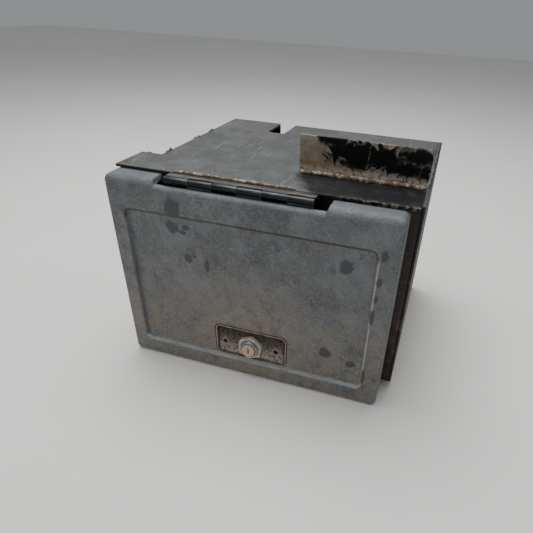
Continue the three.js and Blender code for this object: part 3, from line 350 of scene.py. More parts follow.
def sand_cast_aluminium():
    """Sand-cast aluminium, dulled grey: a pebbly skin with clouds, grime and rain stains, painted sky light
    on its upward faces, and painted shade and highlights along the recess and pocket edges.
    """
    material, tree, shader, place = new_material("sand_cast_aluminium", 0.25, 0.5)
    parts = axes(tree, place)
    grain = patches(tree, place, 1.2, 0.35, 0.65, detail=3)
    pale_grain = patches(tree, place, 1.15, 0.5, 0.66, detail=3, seed=31)
    dark_grain = patches(tree, place, 1.3, 0.52, 0.68, detail=3, seed=77)
    sparkle = patches(tree, place, 0.9, 0.66, 0.74, detail=2, seed=150)
    cloud = patches(tree, place, 24, 0.42, 0.6, seed=5)
    dark_cloud = patches(tree, place, 36, 0.48, 0.64, seed=64)
    mottle = patches(tree, place, 6, 0.45, 0.62, seed=12)
    smudge = patches(tree, place, 15, 0.58, 0.7, detail=3, seed=203)
    dust_height = band(tree, parts[2], [(0, 1), (60, 0.9), (100, 0.5), (140, 0.16), (170, 0.05), (221, 0)])
    around_pocket = band(
        tree, from_axis(tree, place, POCKET_CENTRE), [(0, 1), (45, 0.95), (75, 0.35), (110, 0)],
    )
    dust_cloud = patches(tree, place, 17, 0.38, 0.58, seed=22)
    dust = times(tree, dust_height, dust_cloud)
    near_dust = times(tree, around_pocket, patches(tree, place, 11, 0.36, 0.56, seed=92))
    dust_clumps = times(tree, dust_height, patches(tree, place, 3.4, 0.5, 0.64, seed=41))

    ragged_line = patches(tree, place, 6, 0.2, 0.5, seed=15)
    top_grime_and_shade, left_edge_shade, bottom_highlight_and_wear, right_highlight_and_wear, corner_dust = panel_marks(tree, place, parts, ragged_line)

    pocket_x = [POCKET_CENTRE[0] - POCKET_SIZE[0] / 2, POCKET_CENTRE[0] + POCKET_SIZE[0] / 2]
    pocket_z = [POCKET_CENTRE[1] - POCKET_SIZE[1] / 2, POCKET_CENTRE[1] + POCKET_SIZE[1] / 2]
    rim = frame_distance(tree, place, pocket_x, pocket_z, POCKET_CORNER)
    # Stronger towards the pocket's top, where its edges face down: this carries the painted shade below.
    above = band(tree, parts[2], [(pocket_z[0] - 3, 0.1), (pocket_z[0] + 6, 0.8), (pocket_z[1], 1)])
    rim_lip = times(tree, band(tree, rim, [(-0.4, 0), (0.3, 0.8), (1.3, 0.8), (1.9, 0)]), ragged_line)
    # Dark brown grime in the lip's groove, with painted shade that deepens towards the pocket's top.
    rim_groove_grime_and_shade = times(
        tree, band(tree, rim, [(1.1, 0), (1.8, 1), (2.5, 0.9), (3.2, 0)]), ragged_line, above,
    )
    # Painted shade just inside the pocket's edge, darkest along its top.
    rim_inside_shade = times(tree, band(tree, rim, [(-1.2, 1), (-0.2, 0.9), (0.3, 0)]), above)
    wet = times(tree, rain_marks(tree, place), 0.85)
    # Painted sky light: a bluish lightening of the faces that look upwards.
    painted_sky_light = band(tree, upward(tree), [(0.05, 0), (0.5, 0.6), (1, 1)])

    colour = layered(tree, linear("595d60"), [
        ("6b7175", times(tree, cloud, 0.85)),
        ("44494d", times(tree, dark_cloud, 0.75)),
        ("6b6964", times(tree, mottle, 0.4)),
        ("443f38", times(tree, smudge, 0.6)),
        ("776e63", times(tree, dust, 0.85)),
        ("857a6d", times(tree, near_dust, 0.7)),
        ("918474", times(tree, dust_clumps, 0.45)),
        ("a0a4a7", times(tree, pale_grain, 0.32)),
        ("34373a", times(tree, dark_grain, 0.36)),
        ("dfe3e5", times(tree, sparkle, 0.35)),
        # painted sky light on the upward faces
        ("737b82", times(tree, painted_sky_light, 0.3)),
        # painted shade on the recess's left slope
        ("3c4043", times(tree, left_edge_shade, 0.75)),
        # painted highlight with wear along the recess's bottom and right
        ("9aa2a7", bottom_highlight_and_wear),
        ("a8a196", right_highlight_and_wear),
        ("a39685", times(tree, corner_dust, dust_clumps, 0.8)),
        # brown grime and painted shade on the recess's top slope
        ("3a2d25", top_grime_and_shade),
        ("a59986", rim_lip),
        # grime and painted shade in the lip's groove
        ("241b15", rim_groove_grime_and_shade),
        # painted shade inside the pocket's edge
        ("15110e", rim_inside_shade),
        ("34373b", wet),
    ])
    tree.links.new(colour, shader.inputs["Base Color"])
    gloss = node(
        tree, "ShaderNodeMapRange",
        {"Value": wet, "From Min": 0, "From Max": 0.85, "To Min": 0.55, "To Max": 0.4},
    )
    tree.links.new(gloss.outputs[0], shader.inputs["Roughness"])
    relief(tree, shader, [(grain, 0.16), (mottle, 0.14), (pale_grain, 0.12)])
    return material


# Centres and sizes, X and Z in millimetres, of the dark marks that dried water left on the door.
RAIN_STAINS = [
    ((-83, 197), (19, 22)),
    ((-86, 174), (14, 14)),
    ((-71, 176), (9, 6)),
    ((-75, 170), (9, 5)),
    ((-71, 141), (9, 12)),
    ((-64, 145), (8, 4)),
    ((-50, 137), (5, 17)),
    ((130, 184), (8, 13)),
    ((129, 157), (6, 10)),
    ((128, 137), (4, 10)),
    ((127, 118), (5, 20)),
    ((127, 40), (5, 20)),
    ((96, 165), (14, 17)),
    ((83, 58), (14, 13)),
    ((112, 50), (11, 9)),
]


def weathered_black_paint():
    """Black paint chalked grey by the weather, scuffed, with the coat still dark in places."""
    material, tree, shader, place = new_material("weathered_black_paint", 0.15, 0.6)
    parts = axes(tree, place)
    grain = patches(tree, place, 1.4, 0.35, 0.65, detail=3)
    specks = patches(tree, place, 2.2, 0.66, 0.74, detail=3, seed=9)
    pale = patches(tree, place, 30, 0.4, 0.62, seed=3)
    brown = patches(tree, place, 45, 0.52, 0.7, seed=51)
    smears = patches(tree, place, 14, 0.6, 0.72, stretch=(1, 0.35, 1), seed=19)
    scratches = patches(tree, place, 3, 0.66, 0.7, stretch=(1, 0.06, 1), detail=2, seed=27)
    dots = patches(tree, place, 2.6, 0.64, 0.7, detail=1, seed=121)
    facing_up = band(tree, upward(tree), [(0, 0), (0.5, 0.1), (0.9, 1)])
    behind_strip = band(tree, parts[1], [
        (STRIP_HIGH.y - 1, 0), (STRIP_HIGH.y, 0.75), (STRIP_HIGH.y + 24, 0.4), (STRIP_HIGH.y + 60, 0),
    ])
    colour = layered(tree, linear("1c1b1a"), [
        ("494b4b", times(tree, facing_up, 0.96)),
        ("5b5d5c", times(tree, pale, facing_up, 0.75)),
        ("57534c", times(tree, brown, facing_up, 0.5)),
        ("3b3d3e", times(tree, behind_strip, 0.5)),
        ("303132", times(tree, smears, 0.6)),
        ("8b8b88", times(tree, scratches, facing_up, 0.5)),
        ("1a1918", times(tree, dots, 0.8)),
        ("1f1e1d", times(tree, specks, 0.7)),
    ])
    tree.links.new(colour, shader.inputs["Base Color"])
    relief(tree, shader, [(grain, 0.06), (specks, -0.1), (pale, 0.1)])
    return material, tree, shader, place, parts, colour


def strip_paint():
    """The strip's coat: worn grey at the left, still glossy black towards the bracket."""
    material, tree, shader, place, parts, colour = weathered_black_paint()
    material.name = "half_worn_black_paint"
    wobble = node(
        tree, "ShaderNodeTexNoise", {"Vector": place, "Scale": 1 / 12.0, "Detail": 5, "Roughness": 0.65},
    )
    shifted = node(
        tree, "ShaderNodeMath", {0: wobble.outputs[0], 1: 26.0, 2: parts[0]}, operation="MULTIPLY_ADD",
    )
    slanted = node(
        tree, "ShaderNodeMath", {0: parts[1], 1: 0.6, 2: shifted.outputs[0]}, operation="MULTIPLY_ADD",
    )
    edge = BLACK_FROM + 13 + 0.6 * STRIP_HIGH.y
    fresh = band(
        tree, slanted.outputs[0],
        [(edge - 5, 0), (edge + 4, 0.9), (edge + 60, 0.97), (edge + 200, 0.97)],
    )
    streaks = patches(tree, place, 4, 0.5, 0.7, stretch=(0.2, 1, 1), seed=83)
    ash = patches(tree, place, 13, 0.5, 0.66, seed=84)
    chips = times(
        tree, band(tree, parts[1], [(STRIP_LOW.y - 1, 1), (STRIP_LOW.y + 2.5, 0.8), (STRIP_LOW.y + 5, 0)]),
        band(tree, parts[0], [(70, 0), (100, 1), (150, 1)]), patches(tree, place, 5, 0.45, 0.55),
    )
    coated = layered(tree, colour, [
        ("08090b", fresh),
        ("24282c", times(tree, fresh, streaks, 0.5)),
        ("3e3f3f", times(tree, fresh, ash, 0.25)),
        ("8b8071", times(tree, chips, 0.5)),
    ])
    sheen = node(tree, "ShaderNodeMapRange", {"Value": fresh, "To Min": 0.5, "To Max": 0.16})
    tree.links.new(sheen.outputs[0], shader.inputs["Specular IOR Level"])
    tree.links.new(coated, shader.inputs["Base Color"])
    return material


BLACK_FROM = 22    # X in mm where the strip's grey gives way to black


def case_paint():
    """Case sheets: chalky black paint, rust bleeding through low down and at the edges."""
    material, tree, shader, place, parts, colour = weathered_black_paint()
    low = band(tree, parts[2], [(0, 1), (120, 0.9), (170, 0.5), (200, 0.1), (222, 0)])
    rust = times(tree, low, patches(tree, place, 16, 0.4, 0.58, seed=71))
    deep_rust = times(tree, low, patches(tree, place, 5, 0.55, 0.68, seed=37))
    coated = layered(tree, colour, [
        ("3b2a1f", times(tree, rust, 0.85)),
        ("6e5340", times(tree, deep_rust, 0.7)),
    ])
    tree.links.new(coated, shader.inputs["Base Color"])
    return material


def hinge_paint():
    """Blued hinge steel under old paint: near black, with a painted highlight streaked along the top of the
    barrel.
    """
    material, tree, shader, place = new_material("worn_black_hinge_paint", 0.45, 0.36)
    parts = axes(tree, place)
    streaks = patches(tree, place, 5, 0.45, 0.65, stretch=(0.3, 1, 1), seed=13)
    chips = patches(tree, place, 2.6, 0.58, 0.68, seed=43)
    dirt = patches(tree, place, 6, 0.48, 0.6, stretch=(0.4, 1, 1), seed=5)
    on_leaf = band(tree, parts[1], [
        (PIN_Y + KNUCKLE_RADIUS * 0.4, 0), (PIN_Y + KNUCKLE_RADIUS, 0.9), (PIN_Y + 30, 1),
    ])
    # Painted highlight: a bluish streak along the barrel's upper front, on the faces that look up.
    barrel_highlight = times(
        tree, band(tree, parts[1], [
            (PIN_Y - 3.2, 0), (PIN_Y - 2.3, 1), (PIN_Y - 1.2, 0.9), (PIN_Y + 0.2, 0.1), (PIN_Y + 3, 0),
        ]),
        band(tree, upward(tree), [(0.3, 0), (0.6, 1), (1, 1)]),
    )
    along = node(tree, "ShaderNodeMath", {0: parts[0], 1: PIN_LOW.x}, operation="SUBTRACT")
    to_joint = node(
        tree, "ShaderNodeMath", {0: along.outputs[0], 1: KNUCKLE_LENGTH / 2}, operation="PINGPONG",
    )
    at_joint = band(tree, to_joint.outputs[0], [(0, 1), (0.35, 0.9), (0.8, 0), (KNUCKLE_LENGTH / 2, 0)])
    colour = layered(tree, linear("0d1013"), [
        # painted highlight along the barrel, brighter in streaks
        ("3a434b", times(tree, barrel_highlight, 0.8)),
        ("5d676e", times(tree, barrel_highlight, streaks, 0.6)),
        ("4c5356", times(tree, chips, 0.25)),
        ("5f5c58", times(tree, on_leaf, 0.92)),
        ("7a7368", times(tree, on_leaf, dirt, 0.6)),
        ("3a3733", times(tree, on_leaf, chips, 0.6)),
        ("7d6d5a", times(tree, at_joint, 0.35)),
    ])
    tree.links.new(colour, shader.inputs["Base Color"])
    relief(tree, shader, [(chips, -0.1), (streaks, 0.06)])
    return material


def rusty_plate():
    """Mild steel plate gone tan with flash rust, oversprayed with patches of black."""
    material, tree, shader, place = new_material("flash_rusted_steel", 0.15, 0.75)
    parts = axes(tree, place)
    grain = patches(tree, place, 1.6, 0.35, 0.65, detail=4)
    cloud = patches(tree, place, 12, 0.4, 0.6, seed=8)
    pits = patches(tree, place, 2.2, 0.56, 0.68, seed=33)
    width = BRACKET_HIGH.x - BRACKET_LOW.x
    base = BRACKET_LOW.z
    orange = times(
        tree, patches(tree, place, 7, 0.42, 0.56, seed=90),
        band(tree, parts[2], [(base, 1), (base + 9, 0.9), (base + 16, 0)]),
        band(tree, parts[0], [
            (BRACKET_LOW.x, 1), (BRACKET_LOW.x + 0.36 * width, 0.9), (BRACKET_LOW.x + 0.55 * width, 0),
        ]),
    )
    swirl = node(
        tree, "ShaderNodeTexNoise",
        {"Vector": place, "Scale": 1 / 13.0, "Detail": 6, "Roughness": 0.68, "Distortion": 1.6},
    )
    ragged = node(
        tree, "ShaderNodeMath", {0: swirl.outputs[0], 1: 3.2, 2: -1.1}, operation="MULTIPLY_ADD",
    ).outputs[0]
    brushed = patches(tree, place, 6, 0.4, 0.6, stretch=(0.6, 1, 0.9), detail=6, seed=66)
    sprayed = [
        spot(tree, place, (BRACKET_LOW.x + share * width, BRACKET_HIGH.z - down), size, ragged)
        for share, down, size in SPRAYED_PATCHES
    ]
    thin = spot(
        tree, place, (BRACKET_LOW.x + 0.86 * width, BRACKET_HIGH.z - 14), (0.42 * width, 44), ragged,
    )
    shader.inputs["Specular IOR Level"].default_value = 0.25
    chalk = times(
        tree, patches(tree, place, 3.6, 0.38, 0.54, seed=58),
        band(tree, parts[2], [(base, 1), (base + 6, 0.85), (base + 11, 0)]),
    )
    colour = layered(tree, linear("82796d"), [
        ("978c7d", times(tree, cloud, 0.8)),
        ("5d5347", times(tree, pits, 0.6)),
        ("3a3835", times(tree, thin, 0.7)),
        ("141416", times(tree, thin, brushed, 0.9)),
        ("010203", either(tree, *sprayed)),
        ("85501f", times(tree, orange, 0.8)),
        ("c9bdac", times(tree, chalk, 0.75)),
    ])
    tree.links.new(colour, shader.inputs["Base Color"])
    relief(tree, shader, [(grain, 0.1), (pits, -0.15), (cloud, 0.12)])
    return material


# Where black paint was sprayed on the bracket: place along it, mm below its top, and (x, z) size.
SPRAYED_PATCHES = [
    (0.42, 13, (58, 34)),
    (0.27, 3, (34, 12)),
    (0.62, 12, (44, 26)),
    (0.8, 22, (36, 14)),
    (0.9, 8, (30, 12)),
    (0.97, 26, (10, 22)),
]


def weld_metal():
    """Stick weld left as laid: lumpy, rusted tan with chalky slag on its crests."""
    material, tree, shader, place = new_material("rusted_weld_bead", 0.1, 0.8)
    lumps = patches(tree, place, 2.6, 0.4, 0.6, seed=4)
    slag = patches(tree, place, 4.5, 0.46, 0.6, seed=17)
    pits = patches(tree, place, 1.5, 0.52, 0.66, seed=28)
    colour = layered(tree, linear("75685a"), [
        ("96745a", times(tree, lumps, 0.6)),
        ("cfc3b2", times(tree, slag, 0.85)),
        ("2e251e", times(tree, pits, 0.7)),
    ])
    tree.links.new(colour, shader.inputs["Base Color"])
    relief(tree, shader, [(lumps, 0.3), (pits, -0.2)])
    return material


def flaking_black():
    """Black japan flaking off the plate, with pale dust caught low and round the screw heads, and painted
    shade in the screw sockets.
    """
    material, tree, shader, place = new_material("flaking_black_japan", 0.0, 0.7)
    shader.inputs["Specular IOR Level"].default_value = 0.25
    parts = axes(tree, place)
    flakes = patches(tree, place, 7, 0.52, 0.58, seed=6)
    low_down = band(tree, parts[2], [
        (PLATE_LOW.z, 1), (PLATE_LOW.z + 10, 0.8), (PLATE_LOW.z + 20, 0.3), (PLATE_HIGH.z, 0.05),
    ])
    dust = times(tree, patches(tree, place, 4, 0.36, 0.52, seed=46), low_down)
    grain = patches(tree, place, 1.2, 0.4, 0.62, detail=3, seed=60)
    rings, socket_shade = [], []
    for centre in SCREW_PLACES:
        reach = from_axis(tree, place, centre)
        rings.append(band(tree, reach, [(3.3, 0), (3.9, 0.9), (4.3, 1), (5.0, 0.1), (5.6, 0.5), (6.2, 0)]))
        # Painted shade: near black in the screw heads' sockets.
        socket_shade.append(band(tree, reach, [(0, 1), (2.0, 1), (2.6, 0)]))
    scuffed = patches(tree, place, 3, 0.3, 0.5, seed=71)
    colour = layered(tree, linear("16151a"), [
        ("38332f", times(tree, flakes, 0.7)),
        ("b8aa9d", times(tree, dust, 0.85)),
        ("241f1c", times(tree, grain, 0.5)),
        ("aa9b8b", times(tree, either(tree, *rings), scuffed, 0.85)),
        # painted shade in the screw sockets
        ("0a0908", times(tree, either(tree, *socket_shade), 0.95)),
    ])
    tree.links.new(colour, shader.inputs["Base Color"])
    relief(tree, shader, [(flakes, -0.18), (dust, 0.12)])
    return material


def nickel_plate():
    """Dull nickel plate: a soft silver shine, clouded and finely scratched, with painted shade in the groove
    round the core.
    """
    material, tree, shader, place = new_material("dulled_nickel_plate", 0.9, 0.34)
    cloud = patches(tree, place, 5, 0.4, 0.62, seed=2)
    scratches = patches(tree, place, 1.4, 0.6, 0.68, stretch=(1, 1, 0.12), detail=2, seed=44)
    grime = patches(tree, place, 3, 0.6, 0.72, seed=88)
    # Painted shade: a dark ring in the groove between the nickel ring and the core.
    groove_shade = band(tree, from_axis(tree, place, (LOCK_X, LOCK_Z)), [(7, 1), (8.3, 1), (8.7, 0), (12, 0)])
    colour = layered(tree, linear("a4a8aa"), [
        ("868b8e", times(tree, cloud, 0.7)),
        ("c9cccc", times(tree, scratches, 0.5)),
        ("5b5650", times(tree, grime, 0.6)),
        # painted shade in the groove round the core
        ("241f1b", times(tree, groove_shade, 0.9)),
    ])
    tree.links.new(colour, shader.inputs["Base Color"])
    gloss = node(
        tree, "ShaderNodeMapRange", {"Value": cloud, "To Min": 0.3, "To Max": 0.46},
    )
    tree.links.new(gloss.outputs[0], shader.inputs["Roughness"])
    relief(tree, shader, [(scratches, -0.02), (cloud, 0.04)])
    return material


def dusty_bronze():
    """Bare bronze under a baked-on film of pale dust, so it hardly shines; the core is pinker."""
    material, tree, shader, place = new_material("dusty_bronze", 0.25, 0.6)
    reach = from_axis(tree, place, (LOCK_X, LOCK_Z))
    core = band(tree, reach, [(0, 1), (7.9, 1), (8.2, 0), (20, 0)])
    film = patches(tree, place, 5, 0.35, 0.6, seed=10)
    speck = patches(tree, place, 1.3, 0.58, 0.7, detail=3, seed=23)
    colour = layered(tree, linear("a39a88"), [
        ("bbb3a3", film),
        ("c0a189", times(tree, core, 0.85)),
        ("6e6250", times(tree, speck, 0.5)),
    ])
    tree.links.new(colour, shader.inputs["Base Color"])
    relief(tree, shader, [(film, 0.05), (speck, -0.06)])
    return material


def lacquered_brass():
    """Lacquered clock brass: warm, fine-grained along X, tarnished in clouds."""
    material, tree, shader, place = new_material("lacquered_brass", 0.95, 0.32)
    grained = patches(tree, place, 0.9, 0.35, 0.65, stretch=(0.05, 1, 1), detail=2, seed=14)
    tarnish = patches(tree, place, 12, 0.5, 0.7, seed=29)
    colour = layered(tree, linear("b48a45"), [
        ("c9a35e", times(tree, grained, 0.5)),
        ("7a5a30", times(tree, tarnish, 0.6)),
    ])
    tree.links.new(colour, shader.inputs["Base Color"])
    relief(tree, shader, [(grained, 0.015), (tarnish, 0.02)])
    return material


def machined_steel():
    """Plain machined steel: grey and bright, with tool marks and a few rust freckles."""
    material, tree, shader, place = new_material("machined_steel", 0.9, 0.36)
    marks = patches(tree, place, 0.9, 0.35, 0.65, stretch=(1, 1, 0.08), detail=2, seed=11)
    freckles = patches(tree, place, 3.5, 0.6, 0.72, seed=35)
    colour = layered(tree, linear("9b9da0"), [
        ("b4b6b8", times(tree, marks, 0.5)),
        ("6b4c36", times(tree, freckles, 0.7)),
    ])
    tree.links.new(colour, shader.inputs["Base Color"])
    relief(tree, shader, [(marks, 0.015), (freckles, 0.05)])
    return material


def vulcanised_fibre():
    """Vulcanised fibre: dense dark brown board with a faint mottle and a satin face."""
    material, tree, shader, place = new_material("vulcanised_fibre", 0.0, 0.5)
    mottle = patches(tree, place, 4, 0.4, 0.6, seed=7)
    speck = patches(tree, place, 1.2, 0.6, 0.7, detail=3, seed=53)
    colour = layered(tree, linear("2c201b"), [
        ("3a2a22", mottle),
        ("5a463a", times(tree, speck, 0.4)),
    ])
    tree.links.new(colour, shader.inputs["Base Color"])
    relief(tree, shader, [(mottle, 0.03), (speck, 0.03)])
    return material


def drawn_copper():
    """Drawn copper: warm and bright where it rubs, brown where the air has reached it."""
    material, tree, shader, place = new_material("drawn_copper", 0.9, 0.35)
    turns = patches(tree, place, 0.8, 0.35, 0.65, stretch=(1, 0.05, 0.05), detail=2, seed=16)
    brown = patches(tree, place, 7, 0.48, 0.66, seed=39)
    colour = layered(tree, linear("a8552f"), [
        ("c4764a", times(tree, turns, 0.6)),
        ("5e3322", times(tree, brown, 0.7)),
    ])
    tree.links.new(colour, shader.inputs["Base Color"])
    relief(tree, shader, [(turns, 0.03), (brown, 0.02)])
    return material


materials = {
    "case_paint": case_paint(),
    "cast_door": sand_cast_aluminium(),
    "hinge_black": hinge_paint(),
    "rusty_steel": rusty_plate(),
    "weld_bead": weld_metal(),
    "black_plate": flaking_black(),
    "lock_nickel": nickel_plate(),
    "lock_bronze": dusty_bronze(),
    "movement_brass": lacquered_brass(),
    "bright_steel": machined_steel(),
    "black_fibre": vulcanised_fibre(),
    "copper": drawn_copper(),
}


# ---------- mesh helpers ----------
def add_detail(name, mesh, like, material=None, sharp=35):
    """Adds a mesh drawn in millimetres; it rides and is finished like the node `like`."""
    mesh.transform(Matrix.Scale(MM, 4))
    for vert in mesh.vertices:
        for axis in range(3):
            vert.co[axis] = min(max(vert.co[axis], cad_box[0][axis]), cad_box[1][axis])
    mesh.shade_smooth()
    mesh.set_sharp_from_angle(angle=math.radians(sharp))
    made = bpy.data.objects.new(name, mesh)
    bpy.context.scene.collection.objects.link(made)
    mesh.materials.clear()
    mesh.materials.append(material or materials[slot_of[like]])
    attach(made, body_of[like])
    return made


def add_piece(name, mesh, nodes, material=None, sharp=35):
    """Adds a mesh that replaces CAD nodes and rides with them."""
    made = add_detail(name, mesh, nodes[0], material, sharp)
    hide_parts(*nodes)
    return made


def mesh_from(build):
    """A mesh from a bmesh, with its faces turned outwards."""
    bmesh.ops.recalc_face_normals(build, faces=build.faces)
    mesh = bpy.data.meshes.new("piece")
    build.to_mesh(mesh)
    build.free()
    return mesh


def bridged(loops, closed):
    """A bmesh skin over loops of the same length; `closed` joins the last loop to the first."""
    build = bmesh.new()
    rows = [[build.verts.new(point) for point in loop] for loop in loops]
    pairs = list(zip(rows, rows[1:]))
    if closed:
        pairs.append((rows[-1], rows[0]))
    for first, second in pairs:
        for i in range(len(first)):
            j = (i + 1) % len(first)
            build.faces.new((first[i], first[j], second[j], second[i]))
    if not closed:
        build.faces.new(rows[0])
        build.faces.new(rows[-1])
    return build


def sweep(points, radii, sides=10, lump=0.0, size=3.0):
    """A lumpy rounded bar along points; its ends close to small caps."""
    loops = []
    for k, (point, radius) in enumerate(zip(points, radii)):
        before = points[max(k - 1, 0)]
        after = points[min(k + 1, len(points) - 1)]
        ahead = (after - before).normalized()
        side = ahead.orthogonal().normalized()
        up = ahead.cross(side)
        loop = []
        for s in range(sides):
            angle = 2 * math.pi * s / sides
            out = side * math.cos(angle) + up * math.sin(angle)
            swell = 1 + lump * noise.noise((point + out * radius) / size)
            loop.append(point + out * radius * swell)
        loops.append(loop)
    return bridged(loops, closed=False)


def lathe_y(profile, centre, sides=72):
    """Turns (radius, y) points about the Y axis through `centre` (x, z) into a closed ring."""
    loops = []
    for radius, y in profile:
        loops.append([
            Vector((
                centre[0] + radius * math.cos(2 * math.pi * s / sides),
                y,
                centre[1] + radius * math.sin(2 * math.pi * s / sides),
            ))
            for s in range(sides)
        ])
    return loops


def softened(name, bevel, grid=0.0, wave=0.0, segments=2):
    """A CAD node with rolled edges; a grid and a wave make flat sheet look handled."""
    source = frame["nodes"][name].data
    build = bmesh.new()
    build.from_mesh(source)
    bmesh.ops.transform(build, matrix=Matrix.Scale(1 / MM, 4), verts=build.verts)
    bmesh.ops.remove_doubles(build, verts=build.verts, dist=0.01)
    bmesh.ops.dissolve_limit(
        build, angle_limit=math.radians(1), verts=build.verts, edges=build.edges, delimit=set(),
    )
    sharp = [
        edge for edge in build.edges
        if len(edge.link_faces) == 2 and edge.calc_face_angle(0) > math.radians(35)
    ]
    bmesh.ops.bevel(
        build, geom=sharp, offset=bevel, segments=segments, profile=0.5, affect="EDGES",
        clamp_overlap=True,
    )
    if grid:
        cut_grid(build, grid)
    if wave:
        for vert in build.verts:
            push = noise.noise_vector(vert.co / 45) * wave + noise.noise_vector(vert.co / 9) * wave * 0.25
            vert.co += push
    return mesh_from(build)


def cut_grid(build, grid):
    """Cuts the faces along even planes, so that they can bend."""
    for axis in range(3):
        low = min(vert.co[axis] for vert in build.verts)
        high = max(vert.co[axis] for vert in build.verts)
        count = int((high - low) / grid)
        for k in range(1, count):
            at = [0, 0, 0]
            at[axis] = low + (high - low) * k / count
            normal = [0, 0, 0]
            normal[axis] = 1
            bmesh.ops.bisect_plane(
                build, geom=build.verts[:] + build.edges[:] + build.faces[:],
                plane_co=at, plane_no=normal,
            )


def smooth_step(value):
    value = min(max(value, 0.0), 1.0)
    return value * value * (3 - 2 * value)


# ---------- cast door ----------
TOP_PITCH = 2.4
SIDE_SAMPLES = 84
CORNER_SAMPLES = 8


def notch_share(x):
    """1 where the door's top is cut down for the hinge, 0 on its shoulders."""
    left = smooth_step((x - (NOTCH_LEFT - SHOULDER_SLOPE)) / SHOULDER_SLOPE)
    right = smooth_step((NOTCH_RIGHT + SHOULDER_SLOPE - x) / SHOULDER_SLOPE)
    return left * right


def top_fractions():
    """Places of the samples along the door's top, closer together where the shoulders slope."""
    low, high = DOOR_LOW.x + DOOR_CORNER, DOOR_HIGH.x - DOOR_CORNER
    ends = [NOTCH_LEFT - SHOULDER_SLOPE / 2, NOTCH_RIGHT + SHOULDER_SLOPE / 2]
    places = [low]
    while places[-1] < high - TOP_PITCH / 2:
        near = min(abs(places[-1] - end) for end in ends)
        places.append(places[-1] + (0.45 if near < SHOULDER_SLOPE * 1.2 else TOP_PITCH))
    places[-1] = high
    return [(place - low) / (high - low) for place in places]


TOP_FRACTIONS = top_fractions()


def ring(x_span, z_span, radius, y):
    """A rounded rectangle's points at one depth, the same count whatever its size."""
    (x0, x1), (z0, z1) = x_span, z_span
    radius = max(radius, 0.4)
    points = []

    def corner(cx, cz, start):
        for k in range(1, CORNER_SAMPLES):
            angle = start + math.pi / 2 * k / CORNER_SAMPLES
            points.append((cx + radius * math.cos(angle), y, cz + radius * math.sin(angle)))

    for share in TOP_FRACTIONS:
        points.append((x0 + radius + share * (x1 - x0 - 2 * radius), y, z0))
    corner(x1 - radius, z0 + radius, -math.pi / 2)
    for k in range(SIDE_SAMPLES + 1):
        points.append((x1, y, z0 + radius + (z1 - z0 - 2 * radius) * k / SIDE_SAMPLES))
    corner(x1 - radius, z1 - radius, 0)
    for share in reversed(TOP_FRACTIONS):
        points.append((x0 + radius + share * (x1 - x0 - 2 * radius), y, z1))
    corner(x0 + radius, z1 - radius, math.pi / 2)
    for k in range(SIDE_SAMPLES + 1):
        points.append((x0, y, z1 - radius - (z1 - z0 - 2 * radius) * k / SIDE_SAMPLES))
    corner(x0 + radius, z0 + radius, math.pi)
    return np.array(points)


TOP_START = len(TOP_FRACTIONS) + (CORNER_SAMPLES - 1) * 2 + SIDE_SAMPLES + 1
TOP_END = TOP_START + len(TOP_FRACTIONS)


def outer_ring(inset_share, y_share, rear_share=0.0):
    """A loop round the door's outside: `inset_share` of the edge rounding inwards, `y_share`
    of it forwards, and `rear_share` of the wall back to the rim."""
    sides = EDGE_ROUND * inset_share
    ceiling = DOOR_HIGH.z - TOP_ROUND * inset_share
    corner = DOOR_CORNER - inset_share
    loop = ring(
        (DOOR_LOW.x + sides, DOOR_HIGH.x - sides), (DOOR_LOW.z + sides, ceiling), corner, 0.0,
    )
    for i, point in enumerate(loop):
        share = notch_share(point[0]) if TOP_START <= i < TOP_END else 0.0
        lift = min(max((point[2] - ceiling + corner) / corner, 0.0), 1.0)
        round_here = EDGE_ROUND + (TOP_ROUND - EDGE_ROUND) * (1 - math.sqrt(1 - lift * lift))
        round_here += (NOTCH_ROUND - round_here) * share
        rim_y = DOOR_HIGH.y + (DOOR_LOW.y + DOOR_FACE + 0.6 - DOOR_HIGH.y) * share
        front_y = DOOR_LOW.y + round_here
        point[1] = front_y - round_here * y_share + (rim_y - front_y) * rear_share
        if share:
            point[2] = DOOR_HIGH.z - NOTCH_DROP * share - round_here * inset_share
    return loop


def inner_ring(inset, depth_share):
    """A loop inside the pan; `depth_share` runs from the front wall's back to the rim."""
    loop = ring(
        (DOOR_LOW.x + inset, DOOR_HIGH.x - inset),
        (DOOR_LOW.z + inset, DOOR_HIGH.z - inset),
        DOOR_CORNER - inset, 0.0,
    )
    inside = DOOR_LOW.y + DOOR_FACE
    for i, point in enumerate(loop):
        share = notch_share(point[0]) if TOP_START <= i < TOP_END else 0.0
        rim_y = DOOR_HIGH.y + (inside + 0.6 - DOOR_HIGH.y) * share
        point[1] = inside + (rim_y - inside) * depth_share
        if share:
            level = DOOR_HIGH.z - inset + (DOOR_WALL - NOTCH_DROP - 0.9) * share
            point[2] = min(point[2], level)
    return loop


def between(first, second, count, ease=lambda t: t, depth_ease=None):
    """The loops that lead from one loop to the next, the first left out."""
    depth_ease = depth_ease or ease
    loops = []
    for k in range(1, count + 1):
        share = k / count
        loop = first + (second - first) * ease(share)
        loop[:, 1] = first[:, 1] + (second[:, 1] - first[:, 1]) * depth_ease(share)
        loops.append(loop)
    return loops


def hole_ring(like, radius, y):
    """A circle about the lock's axis with its points in the directions of another loop's."""
    angles = np.arctan2(like[:, 2] - LOCK_Z, like[:, 0] - LOCK_X)
    return np.stack([
        LOCK_X + radius * np.cos(angles), np.full(len(angles), y), LOCK_Z + radius * np.sin(angles),
    ], axis=1)


def pocket_ring(grow, y, low_share=1.0):
    """The pocket's outline grown by `grow` mm, by only a share of it along the bottom."""
    half = (POCKET_SIZE[0] / 2 + grow, POCKET_SIZE[1] / 2)
    return ring(
        (POCKET_CENTRE[0] - half[0], POCKET_CENTRE[0] + half[0]),
        (POCKET_CENTRE[1] - half[1] - grow * low_share, POCKET_CENTRE[1] + half[1] + grow),
        POCKET_CORNER + grow * low_share, y,
    )


